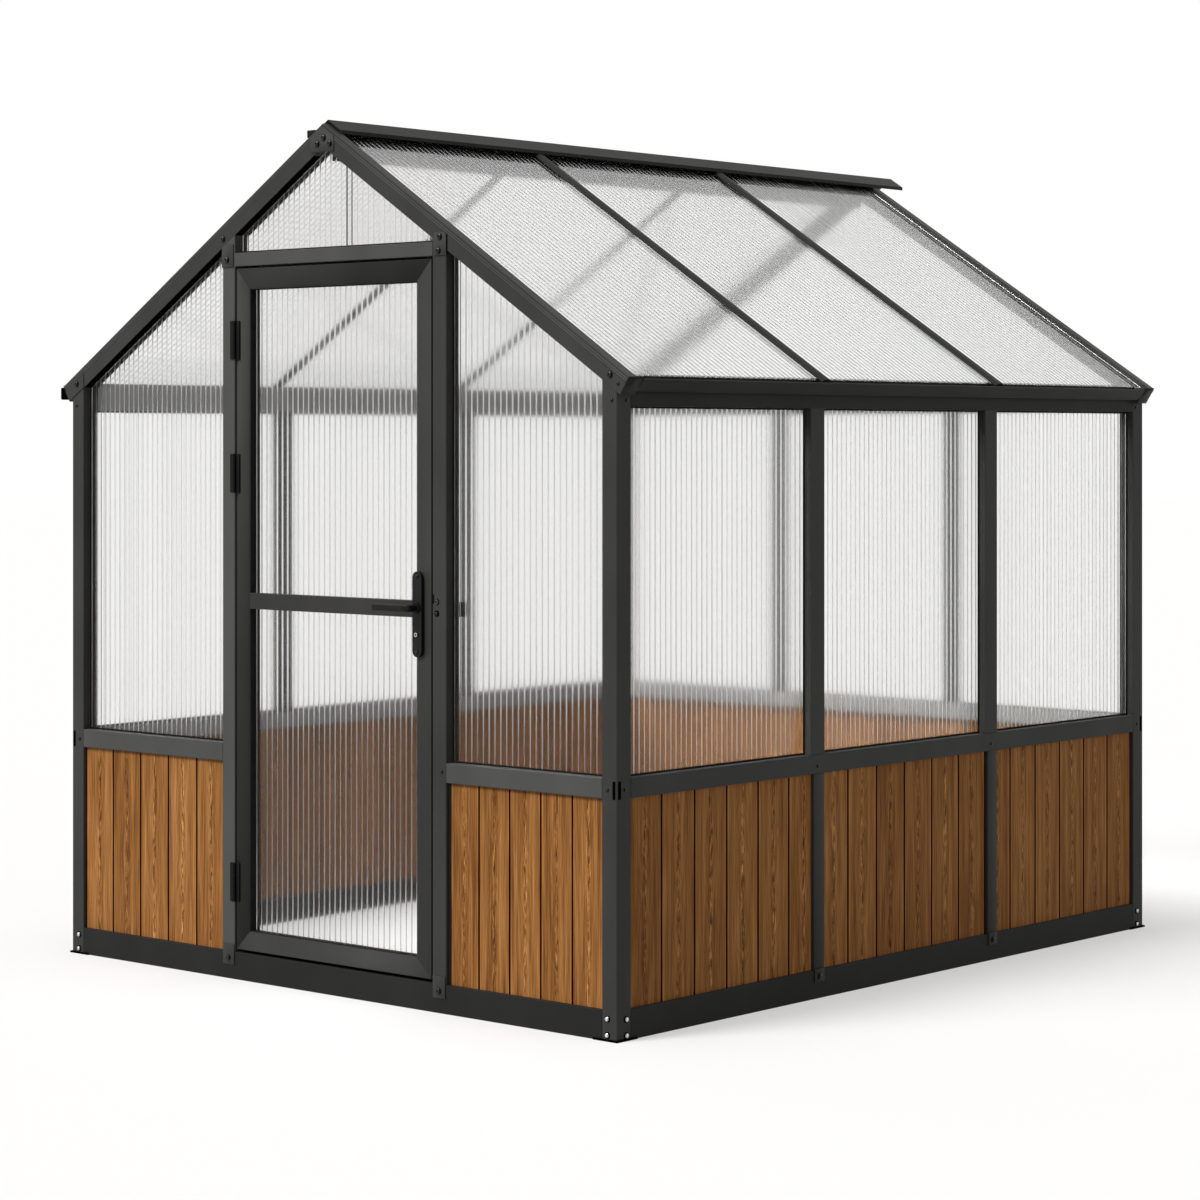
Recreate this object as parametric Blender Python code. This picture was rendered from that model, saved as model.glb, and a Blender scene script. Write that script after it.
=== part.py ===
"""Family greenhouse: an aluminium frame on a base of rails, with fluted polycarbonate glazing above a sill,
timber boards below it, a gable roof with gutters, and a glazed door on three hinges with a lever and a lock.

X is the width, with the door in the front wall. Y is the depth, towards the rear gable. Z is up.
The origin is the middle of the underside of the front base rail.
"""

import math

import bmesh
import bpy
from mathutils import Matrix, Vector

# Overall sizes, over the outside faces of the corner posts
WIDTH = 2.130
LENGTH = 2.505
RIDGE_LINE = 2.385  # where the outer faces of the two roof slopes meet
EAVE_LINE = 1.703  # where a roof slope's outer face crosses the side wall's face

# Clearances
SEAT = 0.0003  # between pieces that rest on each other
DOOR_GAP = 0.0065  # round the door leaf
RUNNING = 0.0006  # round a piece that turns or slides

# Frame members: every one is a hollow extrusion
WALL = 0.002
EDGE = 0.0015  # chamfer along the outer corners
SMOOTH_ANGLE = math.radians(25)
POST_X = 0.050
POST_Y = 0.055
BASE_HEIGHT = 0.077
RAIL_DEPTH = 0.050
SILL_BOTTOM = 0.611
SILL_HEIGHT = 0.052
PLATE_DROP = 0.0995  # from the eave line to the underside of the wall plates
JAMB_WIDTH = 0.050
HEADER_BOTTOM = 2.005
HEADER_HEIGHT = 0.038
MULLION_WIDTH = 0.062
REAR_POST_WIDTH = 0.050
TIE_HEIGHT = 0.050
SIDE_BAYS = 3
REAR_BAYS = 3

# Foot flange of each corner post
FOOT_THICKNESS = 0.004
FOOT_PROUD = 0.004
FOOT_REACH = 0.022

# Roof members, across the slope
RAFTER_FACE = 0.0538
RAFTER_OVERHANG = 0.0395  # beyond the side walls, along X
RAFTER_NOSE = 0.030  # full-height part; the rest is the ledge that the glazing rests on
ROOF_GLAZING_DROP = 0.010
ROOF_BAR_WIDTH = 0.040
ROOF_BAR_SIDE = 0.003
ROOF_BAR_CROWN = 0.0006
RIDGE_WEB = 0.036
RIDGE_BEAM_DROP = 0.099  # from the ridge line to the underside of the beam
CAP_HALF = 0.0485
CAP_TOP = 0.0095
CAP_THICKNESS = 0.004
CAP_LIP = 0.003
CAP_LIP_CLEAR = 0.001
CAP_FRONT_INSET = 0.020
CAP_REAR_OVERHANG = 0.140

# Gutter, measured out from the side wall's face and down from the eave line
GUTTER_FOOT = 0.016
GUTTER_REACH = 0.0435
GUTTER_LIP = 0.0095
GUTTER_RIM = 0.0025
GUTTER_SKIN = 0.0045  # fascia, along X
GUTTER_BACK = 0.003
GUTTER_DEPTH = 0.063
GUTTER_DROP = 0.0302

# Glazing and boards
SHEET = 0.006
FLUTE_PITCH = 0.021
FLUTE_DEPTH = 0.0035
SIDE_GLAZING_RECESS = 0.024
END_GLAZING_RECESS = 0.028
BOARD_THICKNESS = 0.018
BOARD_RECESS = 0.011
END_BOARD_WIDTH = 0.118
SIDE_BOARD_WIDTH = 0.133
GROOVE_WIDTH = 0.005
GROOVE_DEPTH = 0.006

# Door leaf
OPENING_WIDTH = 0.775
OPENING_OFFSET = 0.0315
DOOR_SETBACK = 0.002
DOOR_DEPTH = 0.040
DOOR_STILE = 0.054
DOOR_TOP_RAIL = 0.059
DOOR_BOTTOM_RAIL = 0.054
DOOR_THRESHOLD_GAP = 0.009
MID_RAIL_DROP = 0.026  # from the lever to the underside of the middle rail
MID_RAIL_HEIGHT = 0.045
MID_RAIL_DEPTH = 0.022

# Hinges
HINGE_HEIGHT = 0.108
HINGE_LEVELS = {"bottom": 0.274, "middle": 1.424, "top": 1.798}
HINGE_BARREL = 0.0055
HINGE_PIN = 0.003
HINGE_STAND = 0.0060  # axis in front of the frame's face
HINGE_LEAF = 0.0030
HINGE_LEAF_WIDTH = 0.012

# Handle, latch and lock
LEVER_HEIGHT = 1.070
LEVER_BACKSET = 0.044  # from the door's edge to the spindle
LEVER_LENGTH = 0.125
LEVER_STANDOFF = 0.050
LEVER_TALL = 0.018
LEVER_THICK = 0.009
LEVER_BEND = 0.014
LEVER_EDGE = 0.003
HUB_RADIUS = 0.0130
HUB_PROUD = 0.004
SPINDLE_RADIUS = 0.006
PLATE_WIDTH = 0.034
PLATE_ABOVE = 0.0975
PLATE_BELOW = 0.131
PLATE_THICKNESS = 0.010
PLATE_RIM = 0.0012
PLATE_RIM_ANGLE = math.radians(60)
PLUG_DROP = 0.071
PLUG_RADIUS = 0.0065
PLUG_PROUD = 0.003
KEY_SLOT_WIDTH = 0.0022
KEY_SLOT_HEIGHT = 0.009
KEY_SLOT_DEPTH = 0.008
LATCH_RISE = 0.026
LATCH_TALL = 0.020
LATCH_THICK = 0.012
LATCH_LENGTH = 0.033
LATCH_ENGAGE = 0.004
KEEP_CLEAR = 0.0025

FACETS = 24

# Places worked out from the sizes above
HALF = WIDTH / 2
FRONT = -RAIL_DEPTH / 2
REAR = FRONT + LENGTH
SILL_TOP = SILL_BOTTOM + SILL_HEIGHT
PLATE_BOTTOM = EAVE_LINE - PLATE_DROP
RIDGE_BEAM_BOTTOM = RIDGE_LINE - RIDGE_BEAM_DROP
ROOF_PITCH = math.atan2(RIDGE_LINE - EAVE_LINE, HALF)
COS, SIN, TAN = math.cos(ROOF_PITCH), math.sin(ROOF_PITCH), math.tan(ROOF_PITCH)
JAMB_LEFT = OPENING_OFFSET - OPENING_WIDTH / 2  # the jambs' faces at the opening
JAMB_RIGHT = OPENING_OFFSET + OPENING_WIDTH / 2
DOOR_FACE = FRONT + DOOR_SETBACK
DOOR_LEFT = JAMB_LEFT + DOOR_GAP
DOOR_RIGHT = JAMB_RIGHT - DOOR_GAP
DOOR_BOTTOM = BASE_HEIGHT + DOOR_THRESHOLD_GAP
DOOR_TOP = HEADER_BOTTOM - DOOR_GAP
HINGE_X = (JAMB_LEFT + DOOR_LEFT) / 2
HINGE_Y = FRONT - HINGE_STAND
LEVER_X = DOOR_RIGHT - LEVER_BACKSET
MID_RAIL_BOTTOM = LEVER_HEIGHT - MID_RAIL_DROP


def roof_height(x, rise=0.0):
    """Height of the roof slope at distance x from the middle, moved out by rise square to the slope."""
    return RIDGE_LINE - TAN * abs(x) + rise / COS


for old in list(bpy.data.objects):
    bpy.data.objects.remove(old, do_unlink=True)


def make_material(name, color, metallic, roughness, alpha=1.0):
    material = bpy.data.materials.new(name)
    material.use_nodes = True
    shader = material.node_tree.nodes["Principled BSDF"]
    shader.inputs["Base Color"].default_value = (*color, 1.0)
    shader.inputs["Metallic"].default_value = metallic
    shader.inputs["Roughness"].default_value = roughness
    shader.inputs["Alpha"].default_value = alpha
    material.diffuse_color = (*color, alpha)
    return material


POWDER_COAT = make_material("charcoal_powder_coat", (0.045, 0.046, 0.045), 0.2, 0.45)
DOOR_COAT = make_material("charcoal_door_coat", (0.040, 0.041, 0.040), 0.2, 0.42)
FLUTED = make_material("fluted_polycarbonate", (0.86, 0.87, 0.86), 0.0, 0.25, 0.45)
TIMBER = make_material("stained_timber", (0.24, 0.11, 0.04), 0.0, 0.6)
BLACK_METAL = make_material("black_hardware", (0.012, 0.012, 0.012), 0.3, 0.35)
STEEL = make_material("bright_steel", (0.62, 0.62, 0.60), 1.0, 0.28)


# The parent empties: the frame stands still, and each moving group turns or slides on its own
def make_pivot(name, place, parent=None):
    pivot = bpy.data.objects.new(name, None)
    bpy.context.scene.collection.objects.link(pivot)
    pivot.location = Vector(place) - (Vector(parent["place"]) if parent else Vector())
    pivot["place"] = place
    pivot.parent = parent
    return pivot


FRAME = make_pivot("frame_pivot", (0, 0, 0))
DOOR = make_pivot("door_pivot", (HINGE_X, HINGE_Y, DOOR_BOTTOM), FRAME)
LEVER = make_pivot("lever_pivot", (LEVER_X, DOOR_FACE, LEVER_HEIGHT), DOOR)
LATCH = make_pivot("latch_pivot", (DOOR_RIGHT, DOOR_FACE, LEVER_HEIGHT + LATCH_RISE), DOOR)
PLUG = make_pivot("plug_pivot", (LEVER_X, DOOR_FACE, LEVER_HEIGHT - PLUG_DROP), DOOR)


# Solids
def finish_mesh(name, bm, material, pivot, cutter=False):
    """Turn a bmesh in world coordinates into an object whose origin is its pivot's."""
    bmesh.ops.remove_doubles(bm, verts=bm.verts, dist=1e-6)
    bmesh.ops.recalc_face_normals(bm, faces=bm.faces)
    if bm.calc_volume(signed=True) < 0:
        bmesh.ops.reverse_faces(bm, faces=bm.faces)
    bmesh.ops.translate(bm, verts=bm.verts, vec=-Vector(pivot["place"]))
    mesh = bpy.data.meshes.new(name)
    bm.to_mesh(mesh)
    bm.free()
    mesh.materials.append(material)
    mesh.shade_smooth()
    mesh.set_sharp_from_angle(angle=SMOOTH_ANGLE)
    made = bpy.data.objects.new(name, mesh)
    bpy.context.scene.collection.objects.link(made)
    made.parent = pivot
    if cutter:
        made.hide_render = True
        made.display_type = "WIRE"
    return made


def extruded(outline, holes, axis, start, end):
    """A closed bmesh: a flat outline with holes, drawn out along one axis from start to end."""
    place = {
        "x": lambda a, b, t: (t, a, b),
        "y": lambda a, b, t: (a, t, b),
        "z": lambda a, b, t: (a, b, t),
    }[axis]
    bm = bmesh.new()
    for loop in [outline, *holes]:
        corners = [bm.verts.new(place(a, b, start)) for a, b in loop]
        for first, second in zip(corners, corners[1:] + corners[:1]):
            bm.edges.new((first, second))
    bmesh.ops.triangle_fill(bm, use_beauty=True, use_dissolve=False, edges=bm.edges[:])
    drawn = bmesh.ops.extrude_face_region(bm, geom=bm.faces[:])
    moved = [item for item in drawn["geom"] if isinstance(item, bmesh.types.BMVert)]
    bmesh.ops.translate(bm, verts=moved, vec=place(0, 0, end - start))
    return bm


def slice_off(bm, point, normal):
    """Cut away what lies beyond a plane, and close the cut."""
    everything = bm.verts[:] + bm.edges[:] + bm.faces[:]
    cut = bmesh.ops.bisect_plane(
        bm, geom=everything, dist=1e-7, plane_co=point, plane_no=normal, clear_outer=True
    )
    rim = [item for item in cut["geom_cut"] if isinstance(item, bmesh.types.BMEdge)]
    bmesh.ops.triangle_fill(bm, use_beauty=True, use_dissolve=False, edges=rim, normal=normal)


def tube_section(low, high, edge=EDGE, wall=WALL):
    """Outline and hole of a hollow rectangular extrusion with chamfered corners."""
    (a0, b0), (a1, b1) = low, high
    outline = [
        (a0 + edge, b0), (a1 - edge, b0), (a1, b0 + edge), (a1, b1 - edge),
        (a1 - edge, b1), (a0 + edge, b1), (a0, b1 - edge), (a0, b0 + edge),
    ]
    hole = [
        (a0 + wall, b0 + wall), (a1 - wall, b0 + wall), (a1 - wall, b1 - wall), (a0 + wall, b1 - wall),
    ]
    return outline, [hole]


def fluted_outline(start, end, face, back):
    """Section of a sheet from start to end: a flat back, and a fluted face that rises from its valleys."""
    count = max(1, round((end - start) / FLUTE_PITCH))
    pitch = (end - start) / count
    valley = face + math.copysign(FLUTE_DEPTH, back - face)
    points = [(start, back), (start, valley)]
    for flute in range(count):
        near = start + flute * pitch
        points.append((near + pitch / 2, face))
        points.append((near + pitch, valley))
    points.append((end, back))
    return points


def grooved_outline(start, end, face, back, boards):
    """Section of a wall of boards: a flat back, and a groove in the face between each two boards."""
    inward = math.copysign(GROOVE_DEPTH, back - face)
    points = [(start, back), (start, face)]
    for board in range(1, boards):
        middle = start + (end - start) * board / boards
        points.append((middle - GROOVE_WIDTH / 2, face))
        points.append((middle, face + inward))
        points.append((middle + GROOVE_WIDTH / 2, face))
    return points + [(end, face), (end, back)]


def swapped(points):
    return [(b, a) for a, b in points]


def circle_arc(first, last, steps):
    """Points of the unit circle between two angles in degrees."""
    turns = [math.radians(first + (last - first) * step / steps) for step in range(steps + 1)]
    return [(math.cos(turn), math.sin(turn)) for turn in turns]


def rounded_corner(centre, radius, first, last, steps=5):
    arc = circle_arc(first, last, steps)
    return [(centre[0] + radius * across, centre[1] + radius * up) for across, up in arc]


def circle(a, b, radius, facets=FACETS):
    """Corners of a regular polygon whose lowest side is flat."""
    steps = [2 * math.pi * (step + 0.5) / facets for step in range(facets)]
    return [(a + radius * math.cos(turn), b + radius * math.sin(turn)) for turn in steps]


def add_boolean(target, other, operation):
    modifier = target.modifiers.new(f"{operation.lower()}_{other.name}", "BOOLEAN")
    modifier.operation = operation
    modifier.solver = "EXACT"
    modifier.object = other


def block(low, high):
    """A plain closed bmesh between two corners, used for cutters."""
    (x0, y0, z0), (x1, y1, z1) = low, high
    return extruded([(x0, y0), (x1, y0), (x1, y1), (x0, y1)], [], "z", z0, z1)


def make_roof_cutter():
    """All that lies above the undersides of the gable rafters."""
    drop = -RAFTER_FACE - SEAT
    reach = WIDTH
    side = roof_height(reach, drop)
    high = 2 * RIDGE_LINE
    outline = [(-reach, side), (0, roof_height(0, drop)), (reach, side), (reach, high), (-reach, high)]
    space = extruded(outline, [], "y", FRONT - WIDTH, REAR + WIDTH)
    return finish_mesh("above_rafters", space, STEEL, FRAME, cutter=True)


ABOVE_RAFTERS = make_roof_cutter()


def trim_under_rafters(piece):
    add_boolean(piece, ABOVE_RAFTERS, "DIFFERENCE")


# Base rails
def make_base_rails():
    inner = HALF - POST_X - SEAT
    for name, face in (("front", FRONT), ("rear", REAR - RAIL_DEPTH)):
        section = tube_section((face, 0), (face + RAIL_DEPTH, BASE_HEIGHT))
        finish_mesh(f"base_rail_{name}", extruded(*section, "x", -inner, inner), POWDER_COAT, FRAME)
    for name, face in (("left", -HALF), ("right", HALF - RAIL_DEPTH)):
        section = tube_section((face, 0), (face + RAIL_DEPTH, BASE_HEIGHT))
        rail = extruded(*section, "y", FRONT + POST_Y + SEAT, REAR - POST_Y - SEAT)
        finish_mesh(f"base_rail_{name}", rail, POWDER_COAT, FRAME)


# Corner posts, each with a flange round its foot
def make_corner_posts():
    for side_name, side in (("left", -1), ("right", 1)):
        for end_name, end in (("front", -1), ("rear", 1)):
            corner_x = side * HALF
            corner_y = FRONT if end < 0 else REAR
            inner_x = corner_x - side * POST_X
            inner_y = corner_y - end * POST_Y
            low = (min(corner_x, inner_x), min(corner_y, inner_y))
            high = (max(corner_x, inner_x), max(corner_y, inner_y))
            post = extruded(*tube_section(low, high), "z", 0, RIDGE_LINE)
            post = finish_mesh(f"corner_post_{end_name}_{side_name}", post, POWDER_COAT, FRAME)
            trim_under_rafters(post)
            out_x = corner_x + side * FOOT_PROUD
            out_y = corner_y + end * FOOT_PROUD
            near_x = corner_x + side * SEAT
            near_y = corner_y + end * SEAT
            far_x = inner_x - side * FOOT_REACH
            far_y = inner_y - end * FOOT_REACH
            mid_x = corner_x - side * WALL / 2
            mid_y = corner_y - end * WALL / 2
            outline = [
                (out_x, out_y), (out_x, far_y), (near_x, far_y), (near_x, inner_y), (mid_x, inner_y),
                (mid_x, mid_y), (inner_x, mid_y), (inner_x, near_y), (far_x, near_y), (far_x, out_y),
            ]
            flange = extruded(outline, [], "z", 0, FOOT_THICKNESS)
            name = f"foot_flange_{end_name}_{side_name}"
            add_boolean(post, finish_mesh(name, flange, POWDER_COAT, FRAME, cutter=True), "UNION")


# Sills between the boards and the glazing
def make_sills():
    inner = HALF - POST_X - SEAT
    spans = {
        "sill_front_left": (FRONT, -inner, JAMB_LEFT - JAMB_WIDTH - SEAT),
        "sill_front_right": (FRONT, JAMB_RIGHT + JAMB_WIDTH + SEAT, inner),
        "sill_rear": (REAR - RAIL_DEPTH, -inner, inner),
    }
    for name, (face, start, end) in spans.items():
        section = tube_section((face, SILL_BOTTOM), (face + RAIL_DEPTH, SILL_TOP))
        finish_mesh(name, extruded(*section, "x", start, end), POWDER_COAT, FRAME)
    for name, face in (("sill_left", -HALF), ("sill_right", HALF - RAIL_DEPTH)):
        section = tube_section((face, SILL_BOTTOM), (face + RAIL_DEPTH, SILL_TOP))
        sill = extruded(*section, "y", FRONT + POST_Y + SEAT, REAR - POST_Y - SEAT)
        finish_mesh(name, sill, POWDER_COAT, FRAME)


# Door jambs and header
def make_door_frame():
    faces = {
        "left": (JAMB_LEFT - JAMB_WIDTH, JAMB_LEFT),
        "right": (JAMB_RIGHT, JAMB_RIGHT + JAMB_WIDTH),
    }
    for name, (start, end) in faces.items():
        section = tube_section((start, FRONT), (end, FRONT + RAIL_DEPTH))
        jamb = extruded(*section, "z", BASE_HEIGHT + SEAT, RIDGE_LINE)
        jamb = finish_mesh(f"door_jamb_{name}", jamb, POWDER_COAT, FRAME)
        trim_under_rafters(jamb)
        if name == "right":
            middle = LEVER_HEIGHT + LATCH_RISE
            reach = LATCH_TALL / 2 + KEEP_CLEAR
            back = DOOR_FACE + latch_front() + LATCH_THICK + KEEP_CLEAR
            notch = block(
                (JAMB_RIGHT - KEEP_CLEAR, FRONT - KEEP_CLEAR, middle - reach),
                (JAMB_RIGHT + LATCH_ENGAGE + KEEP_CLEAR, back, middle + reach),
            )
            notch = finish_mesh("latch_keep_cut", notch, STEEL, FRAME, cutter=True)
            add_boolean(jamb, notch, "DIFFERENCE")
    section = tube_section((FRONT, HEADER_BOTTOM), (FRONT + RAIL_DEPTH, HEADER_BOTTOM + HEADER_HEIGHT))
    header = extruded(*section, "x", JAMB_LEFT + SEAT, JAMB_RIGHT - SEAT)
    finish_mesh("door_header", header, POWDER_COAT, FRAME)


# Eaves: wall plate and gutter in one extrusion
def glazing_under():
    """How far below the roof slope the underside of the roof glazing lies."""
    return ROOF_GLAZING_DROP + SHEET


def make_eaves():
    top = -glazing_under() - SEAT
    inner = HALF - RAIL_DEPTH
    lip = HALF + GUTTER_REACH - GUTTER_LIP
    back = HALF + GUTTER_BACK
    foot = EAVE_LINE - GUTTER_DEPTH
    crest = EAVE_LINE - GUTTER_DROP
    floor = foot + WALL
    brim = crest - GUTTER_RIM
    lean = (GUTTER_REACH - GUTTER_FOOT) / (brim - foot)

    def fascia_inside(height):
        return HALF + GUTTER_FOOT + (height - foot) * lean - GUTTER_SKIN

    outline = [
        (inner, PLATE_BOTTOM), (HALF, PLATE_BOTTOM), (HALF, foot), (HALF + GUTTER_FOOT, foot),
        (HALF + GUTTER_REACH, brim), (HALF + GUTTER_REACH - GUTTER_RIM, crest), (lip, crest), (lip, brim),
        (fascia_inside(brim), brim), (fascia_inside(floor), floor), (back, floor),
        (back, roof_height(back, top)), (inner, roof_height(inner, top)),
    ]
    hole = [
        (inner + WALL, PLATE_BOTTOM + WALL), (HALF - WALL, PLATE_BOTTOM + WALL),
        (HALF - WALL, roof_height(HALF - WALL, top) - WALL / COS),
        (inner + WALL, roof_height(inner + WALL, top) - WALL / COS),
    ]
    start, end = FRONT + POST_Y + SEAT, REAR - POST_Y - SEAT
    for name, side in (("left", -1), ("right", 1)):
        mirrored = [[(side * a, b) for a, b in loop] for loop in (outline, hole)]
        eave = extruded(mirrored[0], [mirrored[1]], "y", start, end)
        finish_mesh(f"eave_{name}", eave, POWDER_COAT, FRAME)


# Roof members are drawn along X as if the slope were level, then tilted to it
def slope_matrix(side):
    tilt = Matrix.Rotation(ROOF_PITCH, 4, "Y")
    mirror = Matrix.Diagonal((side, 1, 1, 1))
    return mirror @ Matrix.Translation((0, 0, RIDGE_LINE)) @ tilt


def on_slope(section, holes, side, start, end):
    """Extrude a (y, rise) section down one slope between two distances from the middle, given along X."""
    bm = extruded(section, holes, "x", start / COS, end / COS)
    bmesh.ops.transform(bm, matrix=slope_matrix(side), verts=bm.verts)
    bmesh.ops.recalc_face_normals(bm, faces=bm.faces)
    return bm


def make_rafters():
    ledge = -glazing_under() - SEAT
    foot = -RAFTER_FACE
    for side_name, side in (("left", -1), ("right", 1)):
        for end_name, face, inward in (("front", FRONT, 1), ("rear", REAR, -1)):
            outline = [
                (0, foot), (0, -EDGE), (EDGE, 0), (RAFTER_NOSE, 0),
                (RAFTER_NOSE, ledge), (POST_Y, ledge), (POST_Y, foot),
            ]
            hole = [
                (WALL, foot + WALL), (WALL, -WALL - EDGE), (RAFTER_NOSE - WALL, -WALL - EDGE),
                (RAFTER_NOSE - WALL, ledge - WALL), (POST_Y - WALL, ledge - WALL),
                (POST_Y - WALL, foot + WALL),
            ]
            loops = [[(face + inward * a, b) for a, b in loop] for loop in (outline, hole)]
            rafter = on_slope(loops[0], [loops[1]], side, -RAFTER_FACE, HALF + RAFTER_OVERHANG)
            slice_off(rafter, Vector((side * SEAT / 2, 0, 0)), Vector((-side, 0, 0)))
            finish_mesh(f"rafter_{end_name}_{side_name}", rafter, POWDER_COAT, FRAME)


def side_bay_edges():
    """The middles of the mullions along Y, which the roof bars stand over."""
    return [FRONT + LENGTH * bay / SIDE_BAYS for bay in range(1, SIDE_BAYS)]


def make_roof_bars():
    half = ROOF_BAR_WIDTH / 2
    low = -ROOF_GLAZING_DROP + SEAT
    shoulder = low + ROOF_BAR_SIDE
    lip = HALF + GUTTER_REACH - GUTTER_LIP - SEAT
    for side_name, side in (("left", -1), ("right", 1)):
        for number, middle in enumerate(side_bay_edges(), 1):
            section = [(-half, low), (half, low), (half, shoulder)]
            for across, up in circle_arc(60, 120, 2):
                section.append((half * across, shoulder + (ROOF_BAR_CROWN - shoulder) * up))
            section.append((-half, shoulder))
            section = [(middle + a, b) for a, b in section]
            bar = on_slope(section, [], side, CAP_HALF / 2, lip)
            finish_mesh(f"roof_bar_{side_name}_{number}", bar, POWDER_COAT, FRAME)


def make_ridge():
    """The cap runs the whole length; the hollow beam under it stands between the gable rafters."""
    under = CAP_TOP - CAP_THICKNESS
    edge = CAP_HALF - CAP_LIP
    right = [
        (CAP_HALF, roof_height(CAP_HALF, CAP_TOP)),
        (CAP_HALF, roof_height(CAP_HALF, CAP_LIP_CLEAR)),
        (edge, roof_height(edge, CAP_LIP_CLEAR)),
        (edge, roof_height(edge, under)),
    ]
    left = [(-a, b) for a, b in reversed(right)]
    outline = [(0, roof_height(0, CAP_TOP)), *right, (0, roof_height(0, under)), *left]
    cap = extruded(outline, [], "y", FRONT + CAP_FRONT_INSET, REAR + CAP_REAR_OVERHANG)
    ridge = finish_mesh("ridge", cap, POWDER_COAT, FRAME)
    web = RIDGE_WEB / 2
    inner = web - WALL
    crown = roof_height(inner, -ROOF_GLAZING_DROP)
    floor = RIDGE_BEAM_BOTTOM + WALL
    inside_cap = CAP_TOP - CAP_THICKNESS / 2
    section = [
        (-web, RIDGE_BEAM_BOTTOM), (web, RIDGE_BEAM_BOTTOM), (web, roof_height(web, inside_cap)),
        (0, roof_height(0, inside_cap)), (-web, roof_height(web, inside_cap)),
    ]
    hole = [(-inner, floor), (inner, floor), (inner, crown), (-inner, crown)]
    beam = extruded(section, [hole], "y", FRONT + POST_Y + SEAT, REAR - POST_Y - SEAT)
    add_boolean(ridge, finish_mesh("ridge_beam", beam, POWDER_COAT, FRAME, cutter=True), "UNION")


# Upright members between the bays
def make_mullions():
    half = MULLION_WIDTH / 2
    depth = SIDE_GLAZING_RECESS
    for side_name, outer, inner in (("left", -HALF, -HALF + depth), ("right", HALF - depth, HALF)):
        for number, middle in enumerate(side_bay_edges(), 1):
            section = tube_section((outer, middle - half), (inner, middle + half))
            mullion = extruded(*section, "z", SILL_TOP + SEAT, PLATE_BOTTOM - SEAT)
            finish_mesh(f"mullion_{side_name}_{number}", mullion, POWDER_COAT, FRAME)


def make_rear_frame():
    half = REAR_POST_WIDTH / 2
    inner = HALF - POST_X - SEAT
    near = REAR - END_GLAZING_RECESS
    middles = [-HALF + WIDTH * bay / REAR_BAYS for bay in range(1, REAR_BAYS)]
    for name, middle in zip(("left", "right"), middles):
        section = tube_section((middle - half, near), (middle + half, REAR))
        post = extruded(*section, "z", SILL_TOP + SEAT, PLATE_BOTTOM - SEAT)
        finish_mesh(f"rear_post_{name}", post, POWDER_COAT, FRAME)
    section = tube_section((near, PLATE_BOTTOM), (REAR, PLATE_BOTTOM + TIE_HEIGHT))
    tie = extruded(*section, "x", -inner, inner)
    trim_under_rafters(finish_mesh("rear_tie", tie, POWDER_COAT, FRAME))


# Glazing
def make_end_glazing():
    inner = HALF - POST_X - SEAT
    face = FRONT + END_GLAZING_RECESS
    panes = {
        "pane_front_left": (-inner, JAMB_LEFT - JAMB_WIDTH - SEAT, SILL_TOP + SEAT),
        "pane_front_right": (JAMB_RIGHT + JAMB_WIDTH + SEAT, inner, SILL_TOP + SEAT),
        "pane_front_gable": (JAMB_LEFT + SEAT, JAMB_RIGHT - SEAT, HEADER_BOTTOM + HEADER_HEIGHT + SEAT),
    }
    for name, (start, end, bottom) in panes.items():
        outline = fluted_outline(start, end, face, face + SHEET)
        pane = extruded(outline, [], "z", bottom, RIDGE_LINE)
        trim_under_rafters(finish_mesh(name, pane, FLUTED, FRAME))
    face = REAR - END_GLAZING_RECESS - SEAT
    outline = fluted_outline(-inner, inner, face, face - SHEET)
    pane = extruded(outline, [], "z", SILL_TOP + SEAT, RIDGE_LINE)
    trim_under_rafters(finish_mesh("pane_rear", pane, FLUTED, FRAME))


def make_side_glazing():
    start, end = FRONT + POST_Y + SEAT, REAR - POST_Y - SEAT
    face = HALF - SIDE_GLAZING_RECESS - SEAT
    for name, side in (("left", -1), ("right", 1)):
        outline = swapped(fluted_outline(start, end, side * face, side * (face - SHEET)))
        pane = extruded(outline, [], "z", SILL_TOP + SEAT, PLATE_BOTTOM - SEAT)
        finish_mesh(f"pane_wall_{name}", pane, FLUTED, FRAME)


def make_roof_glazing():
    start, end = FRONT + RAFTER_NOSE + SEAT, REAR - RAFTER_NOSE - SEAT
    lip = HALF + GUTTER_REACH - GUTTER_LIP - ROOF_GLAZING_DROP - SEAT
    section = fluted_outline(start, end, -ROOF_GLAZING_DROP, -glazing_under())
    for name, side in (("left", -1), ("right", 1)):
        upper = RIDGE_WEB / 2 + SEAT + glazing_under() * SIN
        pane = on_slope(section, [], side, upper, lip)
        finish_mesh(f"pane_roof_{name}", pane, FLUTED, FRAME)


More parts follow.
